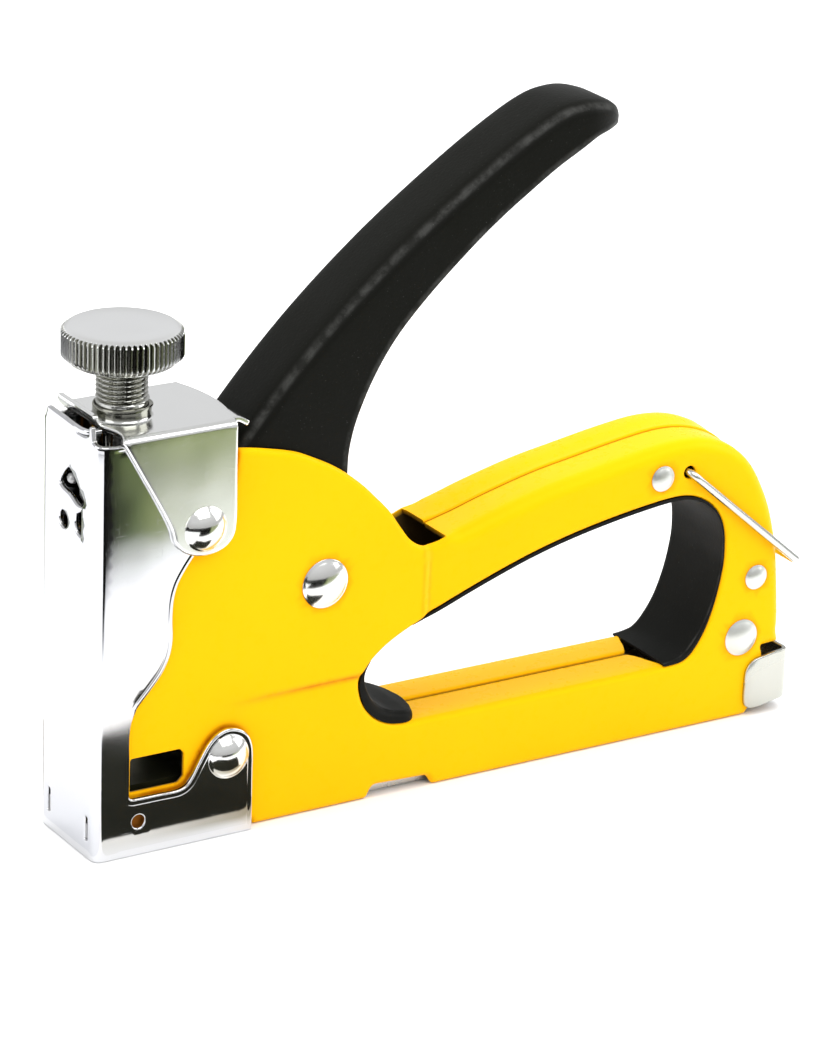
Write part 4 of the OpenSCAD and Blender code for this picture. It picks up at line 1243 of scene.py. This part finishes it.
def liner_mesh():
    p = np.array(spline_run(LINER, 0.9))
    t = np.gradient(p, axis=0)
    t /= np.linalg.norm(t, axis=1)[:, None]
    nrm = np.stack([t[:, 1], -t[:, 0]], 1)            # towards the finger opening
    s = np.concatenate([[0], np.cumsum(np.linalg.norm(np.diff(p, axis=0), axis=1))])
    # thickness along the run: the corner block at the front, nothing to see up the front edge, then the pad
    at = lambda x, z: s[int(np.argmin(np.hypot(p[:, 0] - x, p[:, 1] - z)))]
    thick = np.interp(s, [0, 1.2, 4, 9, 14, 18, 21.7, 24, 27, 38, 40.5, 46, at(125.2, 53.7), at(138.1, 48.6), at(140.3, 40.4), at(138.9, 29.4),
                          at(136.3, 22.0), at(134.0, 18.4), at(130.9, 15.85), s[-1] - 1.5, s[-1]],
                      [0.7, 1.5, 2.1, 2.5, 2.6, 2.3, 1.5, 0.9, 0.05, 0.05, 0.3, 0.95, 0.95, 0.4, 0.25, 0.4, 0.8, 1.2, 1.1, 0.7, 0.4])
    thick = np.convolve(np.pad(thick, 3, mode="edge"), np.ones(7) / 7, mode="valid")
    half = 9.8 - 1.3 * smoothstep(0.2, 0.05, thick)
    half = half * np.maximum(0.12, np.sqrt(1 - np.clip(1 - s / 5.0, 0, 1) ** 2.4))       # the corner block ends in a rounded tongue
    hw = 9.8
    sec = []                                          # (share of the half width, share of the thickness, rounding)
    for k in range(5):
        a = math.radians(90 * k / 4)
        sec.append((-1, 1 - math.cos(a), math.sin(a)))
    for y in (-8.4, -7.0, -4, 0, 4, 7.0, 8.4):
        sec.append((y / hw, 0, 2.0))
    for k in range(5):
        a = math.radians(90 - 90 * k / 4)
        sec.append((1, 1 - math.cos(a), math.sin(a)))
    sec += [(1, 0, -1.0), (-1, 0, -1.0)]
    m = len(sec)
    verts, faces = [], []
    for i in range(len(p)):
        t_i, h_i = thick[i], half[i]
        r = min(float(np.interp(s[i], [12, 22], [2.2, 0.5])), float(np.interp(s[i], [12, 22], [0.88, 0.45])) * t_i)
        for side, inset, lift in sec:
            if lift == 2.0:
                y = side * h_i
                d = t_i + 0.14 * max(0.0, 1 - (y / 7.2) ** 2) * min(1.0, t_i)
            elif lift == -1.0:
                y, d = side * h_i, 0.0
            else:
                y = side * (h_i - r * inset)
                d = t_i - r + r * lift
            verts.append((p[i, 0] + nrm[i, 0] * d, y, p[i, 1] + nrm[i, 1] * d))
    for i in range(len(p) - 1):
        for k in range(m):
            l = (k + 1) % m
            faces.append([i * m + k, i * m + l, (i + 1) * m + l, (i + 1) * m + k])
    faces.append(list(range(m))[::-1])
    faces.append([(len(p) - 1) * m + k for k in range(m)])
    v, f = outward(np.array(verts), faces)
    e = np.tile([0.8 if lift != -1.0 and lift != 2.0 and inset > 0.3 else 0.0 for side, inset, lift in sec], len(p))
    return v, f, e


lv, lf, le = liner_mesh()
build("finger_loop_liner", lv, lf, MAT["liner_plastic"], "frame", ["loop_liner"], 40, {"edge": le})

CLIP_W, CLIP_X, CLIP_R = 11.1, 158.6, 2.4
C_FLAT = CLIP_W - CLIP_R
C_SIDE = C_FLAT + CLIP_R * math.pi / 2


def wrap_clip(u, z):
    s, a = np.sign(u), np.abs(u)
    th = np.clip((a - C_FLAT) / CLIP_R, 0, math.pi / 2)
    x = np.where(a < C_SIDE, CLIP_X - CLIP_R * (1 - np.cos(th)), CLIP_X - CLIP_R - (a - C_SIDE))
    y = s * np.where(a < C_FLAT, a, C_FLAT + CLIP_R * np.sin(th))
    return np.stack([x, y, z], 1)


def clip_mesh():
    u_of = lambda x: C_SIDE + (CLIP_X - CLIP_R - x)
    near = [(-u_of(155.8), 14.1), (-u_of(152), 13.6), (-u_of(149.6), 13.1), (-u_of(148.1), 11.9), (-u_of(147.3), 10.2), (-u_of(147.2), 7), (-u_of(147.2), 4.2),
            (-u_of(147.6), 2.6), (-u_of(148.8), 1.75), (-u_of(150.6), 1.75), (-u_of(153.2), 2.15), (-u_of(156), 2.7)]
    bottom = [(-6, 3.1), (0, 3.2), (6, 3.1)]
    far = [(-p[0], p[1]) for p in near[::-1]]
    top = [(6, 14.0), (0, 14.1), (-6, 14.0)]
    out = outline(near + bottom + far + top, 0.5)
    cols = []
    for s in (1, -1):
        for k in range(0, 11):
            a = s * (C_FLAT + (C_SIDE - C_FLAT) * k / 10)
            cols += [(a, z) for z in np.arange(3.2, 14, 0.9)]
    dom = Domain([out], [[0, .08, .2, .4, .7, 1.1]], grid=1.2, extra=np.array(cols),
                 clear=lambda g: (np.abs(g[:, 0]) > C_FLAT - 0.6) & (np.abs(g[:, 0]) < C_SIDE + 0.6))
    d = dom.dist[0]
    v = wrap_clip(dom.p[:, 0], dom.p[:, 1])
    # the free front edges are turned in a little, which catches a bright line
    turn = 0.28 * (1 - smoothstep(0.0, 1.3, d)) * smoothstep(C_SIDE + 4.5, C_SIDE + 8.0, np.abs(dom.p[:, 0]))
    v[:, 1] -= np.sign(v[:, 1]) * turn
    v2, f2 = thicken(v, [list(t) for t in dom.tris], 0.95, edge_drop(d, 0.32))
    v2, f2 = outward(v2, f2)
    e = np.exp(-d / 0.35)
    return v2, f2, np.concatenate([e, e])


pv, pf, pe = clip_mesh()
build("rear_cap", pv, pf, MAT["zinc_plate"], "magazine_slide", ["end_clip"], 34, {"edge": pe})


def arc_points(c, r, a0, a1, n=8):
    return [(c[0] + r * math.cos(a0 + (a1 - a0) * k / n), c[1] + r * math.sin(a0 + (a1 - a0) * k / n)) for k in range(n + 1)]


def bail_mesh():
    L, Y, b, tilt = 39.5, 11.0, 2.2, math.radians(40.6)
    half = [(0, -6.5), (0, -7.4)] + arc_points((b, -Y + b), b, math.pi, 1.5 * math.pi, 9)
    half += [(x, -Y) for x in np.linspace(4, L - b - 1.2, 16)]
    half += arc_points((L - b, -Y + b), b, -0.5 * math.pi, 0, 9)
    half += [(L, -6.0), (L, -3.0)]
    plan = half + [(L, 0)] + [(x, -y) for x, y in half[::-1]]
    path = [(129.9 + x * math.cos(tilt), y, 59.2 - x * math.sin(tilt)) for x, y in plan]
    return outward(*sweep(path, 0.85, sides=18, up=(0, 0, 1)))


wv, wf = bail_mesh()
build("wire_bail", wv, wf, MAT["wire_plate"], "bail", ["wire_latch"], 60, {"edge": np.zeros(len(wv))})


def coil_path(r, z0, z1, turns, per=28, dead=1.0):
    """A compression coil's centre line, with closed end turns."""
    n = int(turns * per)
    out = []
    for i in range(n + 1):
        t = turns * i / n
        rise = np.interp(t, [0, dead, turns - dead, turns], [0, 0.045, 0.955, 1])
        a = 2 * math.pi * t
        out.append((r * math.cos(a), r * math.sin(a), z0 + (z1 - z0) * rise))
    return out


# The power spring is built in two pieces: its lower turns go with the frame, its upper turns are left without a body
COIL = coil_path(6.4, 32.2, 74.8, 9)
CUT = 160
mv, mf = outward(*sweep(COIL[:CUT + 1], 1.0, sides=12, up=(0, 0, 1)))
spring = build("power_spring", mv, mf, MAT["spring_steel"], "frame", ["mainspring"], 60, {"edge": np.zeros(len(mv))})
mv, mf = outward(*sweep(COIL[CUT:], 1.0, sides=12, up=(0, 0, 1)))
spring_top = build("power_spring_top", mv, mf, MAT["spring_steel"], None, ["mainspring"], 60, {"edge": np.zeros(len(mv))})

rv, rf = outward(*sweep([(x, y, z) for z, y, x in coil_path(2.0, 3.9, 156.5, 52, per=14)], 0.5, sides=8, up=(0, 0, 1)))
rv = rv + np.array([0, 0, 6.9])
feed = build("feed_spring", rv, rf, MAT["spring_steel"], "magazine_slide", ["pusher_spring"], 60, {"edge": np.zeros(len(rv))})

turn_path = [(41 + 4.8 * math.cos(a), -8.55 + 1.2 * a / (2 * math.pi * 1.75), 50.5 - 4.8 * math.sin(a)) for a in np.linspace(0, 2 * math.pi * 1.75, 60)]
leg = [(45.8, -8.6, 50.5 - z) for z in np.linspace(9.4, 0.6, 10)]
tv2, tf2 = outward(*sweep(leg + turn_path, 0.36, sides=8, up=(0, 1, 0)))
build("lever_return_spring", tv2, tf2, MAT["spring_steel"], "frame", ["return_spring"], 60, {"edge": np.zeros(len(tv2))})

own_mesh(spring)
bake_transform(spring_top)
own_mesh(feed)

# ---------------------------------------------------------------------------
# Floor, light and camera
# ---------------------------------------------------------------------------

def floor_material():
    g = Graph("floor")
    col = g.mix(g.noise(6, 2), (0.86, 0.86, 0.86), (0.88, 0.88, 0.88))
    return g.done(col, 0.7, 0.0, g.bump(g.noise(900, 2), 0.02, 0.0002))


def flat_panel(name, corners, material):
    me = bpy.data.meshes.new(name)
    me.from_pydata([tuple(c) for c in corners], [], [list(range(len(corners)))])
    me.materials.append(material)
    o = bpy.data.objects.new(name, me)
    bpy.context.scene.collection.objects.link(o)
    return o


flat_panel("floor", [(-6, -6, 0), (6, -6, 0), (6, 6, 0), (-6, 6, 0)], floor_material())


def reflection_card(name, corners, paint):
    """Painted reflection: a dark card that lies outside the picture and shows only as a reflection in the plating."""
    g = Graph(name)
    o = flat_panel(name, corners, g.done(paint(g), 0.8, Specular_IOR_Level=0.0))
    o.visible_camera = False
    o.visible_diffuse = False
    o.visible_shadow = False
    o.visible_transmission = False
    return o


def front_paint(g):
    """White like the floor at its near edge, olive beyond it, and black towards the left."""
    slant = g.math("ADD", g.axis(1), g.math("MULTIPLY", g.axis(0), 0.36))
    fade = g.rng(g.math("ADD", slant, g.rng(g.noise(28, 3), 0, 1, -0.012, 0.012)), -0.140, -0.163, 0, 1)
    u = g.math("ADD", g.math("ADD", g.math("MULTIPLY", g.axis(0), 0.841), g.math("MULTIPLY", g.axis(1), 0.4656)), 0.0688)
    u = g.math("ADD", u, g.rng(g.noise(45, 3), 0, 1, -0.002, 0.002))
    left = g.math("ADD", g.math("ADD", g.axis(0), g.math("MULTIPLY", g.axis(1), -0.14)), 0.0805)
    out = g.math("SQRT", g.math("ADD", g.math("POWER", g.math("ADD", g.axis(0), 0.082), 2.0), g.math("POWER", g.math("ADD", g.axis(1), 0.011), 2.0)))
    fade = g.math("MULTIPLY", fade, g.math("MAXIMUM", g.rng(left, -0.003, 0.003, 0, 1), g.rng(out, 0.245, 0.252, 0, 1)))
    dark = g.mix(g.rng(u, -0.0088, -0.0050, 0, 1), (0.003, 0.003, 0.0025), (0.075, 0.100, 0.042))
    dark = g.mix(g.rng(u, -0.0050, 0.0050, 0, 1), dark, (0.150, 0.180, 0.066))
    dark = g.mix(g.rng(u, 0.0060, 0.0260, 0, 1), dark, (0.200, 0.222, 0.120))
    soft = g.rng(g.noise(7, 3), 0.35, 0.65, 0.0, 0.4)
    dark = g.mix(g.math("MULTIPLY", soft, g.rng(u, 0.0, 0.03, 0, 1)), dark, (0.15, 0.17, 0.12))
    return g.mix(fade, (0.775, 0.78, 0.80), dark)


def near_paint(g):
    """Nearly black, with a brown-grey band along its near edge that pales to the left."""
    black = g.mix(g.noise(60, 3), (0.010, 0.0105, 0.008), (0.022, 0.023, 0.018))
    pale = g.mix(g.rng(g.math("ADD", g.axis(0), g.rng(g.noise(40, 2), 0, 1, -0.006, 0.006)), -0.074, -0.040, 0, 1), (0.74, 0.74, 0.71), (0.27, 0.255, 0.18))
    pale = g.mix(g.rng(g.axis(1), -0.0170, -0.0135, 0, 1), pale, (0.80, 0.80, 0.78))
    edge = g.math("ADD", g.axis(1), g.rng(g.noise(90, 3), 0, 1, -0.0006, 0.0006))
    return g.mix(g.rng(edge, -0.0200, -0.0192, 0, 1), black, pale)


reflection_card("front_card", [(-0.9, -1.6, 0.0006), (0.9, -1.6, 0.0006), (0.9, -0.08, 0.0006), (-0.9, -0.08, 0.0006)], front_paint)
reflection_card("left_card", [(-0.60, 0.60, 0.0006), (-0.60, -0.07, 0.0006), (-0.087, -0.07, 0.0006), (-0.087, 0.60, 0.0006)],
                lambda g: g.mix(g.noise(9, 3), (0.75, 0.755, 0.775), (0.80, 0.805, 0.825)))
reflection_card("near_card", [(-0.0825, -0.0130, 0.0009), (-0.034, -0.0130, 0.0009), (-0.038, -0.0195, 0.0009), (-0.010, -0.0650, 0.0009),
                              (-0.032, -0.0660, 0.0009), (-0.038, -0.0668, 0.0009), (-0.041, -0.0640, 0.0009), (-0.047, -0.0650, 0.0009),
                              (-0.052, -0.0640, 0.0009), (-0.0680, -0.0700, 0.0009), (-0.0890, -0.0700, 0.0009), (-0.0863, -0.0400, 0.0009),
                              (-0.0834, -0.0195, 0.0009)], near_paint)


def far_paint(g):
    """White near the part and grey-olive beyond, for the plating on the far side."""
    far = g.rng(g.math("ADD", g.axis(1), g.rng(g.noise(18, 3), 0, 1, -0.02, 0.02)), 0.115, 0.190, 0, 1)
    across = g.math("ADD", g.axis(0), g.math("MULTIPLY", g.axis(1), 0.28))
    dark = g.mix(g.rng(across, -0.078, -0.045, 0, 1), (0.05, 0.06, 0.035), (0.19, 0.21, 0.13))
    return g.mix(far, (0.62, 0.625, 0.64), dark)


def far_foot_paint(g):
    return g.mix(g.rng(g.axis(1), 0.0190, 0.0205, 0, 1), (0.52, 0.51, 0.46), (0.055, 0.058, 0.048))


reflection_card("far_card", [(-0.1085, 0.075, 0.0010), (0.30, 0.075, 0.0010), (0.30, 0.70, 0.0010), (-0.346, 0.70, 0.0010)], far_paint)
reflection_card("far_foot_card", [(-0.082, 0.0135, 0.0012), (-0.034, 0.0135, 0.0012), (-0.010, 0.0600, 0.0012), (-0.095, 0.0600, 0.0012)], far_foot_paint)


def area(name, loc, target, size, power, color=(1, 1, 1), mirrored=True):
    l = bpy.data.lights.new(name, "AREA")
    l.shape = "RECTANGLE"
    l.size, l.size_y = size
    l.energy = power
    l.color = color
    o = bpy.data.objects.new(name, l)
    bpy.context.scene.collection.objects.link(o)
    o.location = loc
    o.rotation_euler = (Vector(target) - Vector(loc)).to_track_quat("-Z", "Y").to_euler()
    o.visible_glossy = mirrored
    return o


area("key", (0.10, -0.80, 0.95), (0, 0, 0.05), (0.9, 0.7), 6.6)
area("left", (-0.95, -0.10, 0.45), (0, 0, 0.07), (0.7, 0.8), 3)
area("right", (0.95, -0.35, 0.55), (0, 0, 0.07), (0.7, 0.7), 4)
area("top", (0.05, 0.10, 1.2), (0, 0, 0.05), (1.0, 1.0), 14, mirrored=False)
area("back", (0.25, 1.0, 0.70), (0, 0, 0.07), (1.2, 0.6), 6, mirrored=False)

world = bpy.data.worlds.new("studio")
bpy.context.scene.world = world
world.use_nodes = True
wt = world.node_tree
bg = next(n for n in wt.nodes if n.type == "BACKGROUND")
co = wt.nodes.new("ShaderNodeTexCoord")
sep = wt.nodes.new("ShaderNodeSeparateXYZ")
wt.links.new(co.outputs["Generated"], sep.inputs[0])
rampn = wt.nodes.new("ShaderNodeValToRGB")
wt.links.new(sep.outputs["Z"], rampn.inputs["Fac"])
el = rampn.color_ramp.elements
el[0].position, el[0].color = 0.0, (0.95, 0.95, 0.95, 1)
el[1].position, el[1].color = 1.0, (1.05, 1.05, 1.05, 1)
e = el.new(0.35)
e.color = (1.25, 1.256, 1.28, 1)
wt.links.new(rampn.outputs["Color"], bg.inputs["Color"])
bg.inputs["Strength"].default_value = 0.60

scene = bpy.context.scene
scene.view_settings.view_transform = "Standard"
scene.view_settings.look = "None"

cam = bpy.data.cameras.new("camera")
camo = bpy.data.objects.new("camera", cam)
scene.collection.objects.link(camo)
R = Vector((0.8524749, -0.52175927, 0.03246236))
U = Vector((0.16257028, 0.32360884, 0.93212028))
F = Vector((0.49684751, 0.78933173, -0.36069096))
m = Matrix((R, U, -F)).transposed().to_4x4()
m.translation = Vector((-0.485297, -0.761452, 0.403651))
camo.matrix_world = m
cam.sensor_width = 36
cam.lens = 162.71
cam.clip_start, cam.clip_end = 0.01, 50
scene.camera = camo
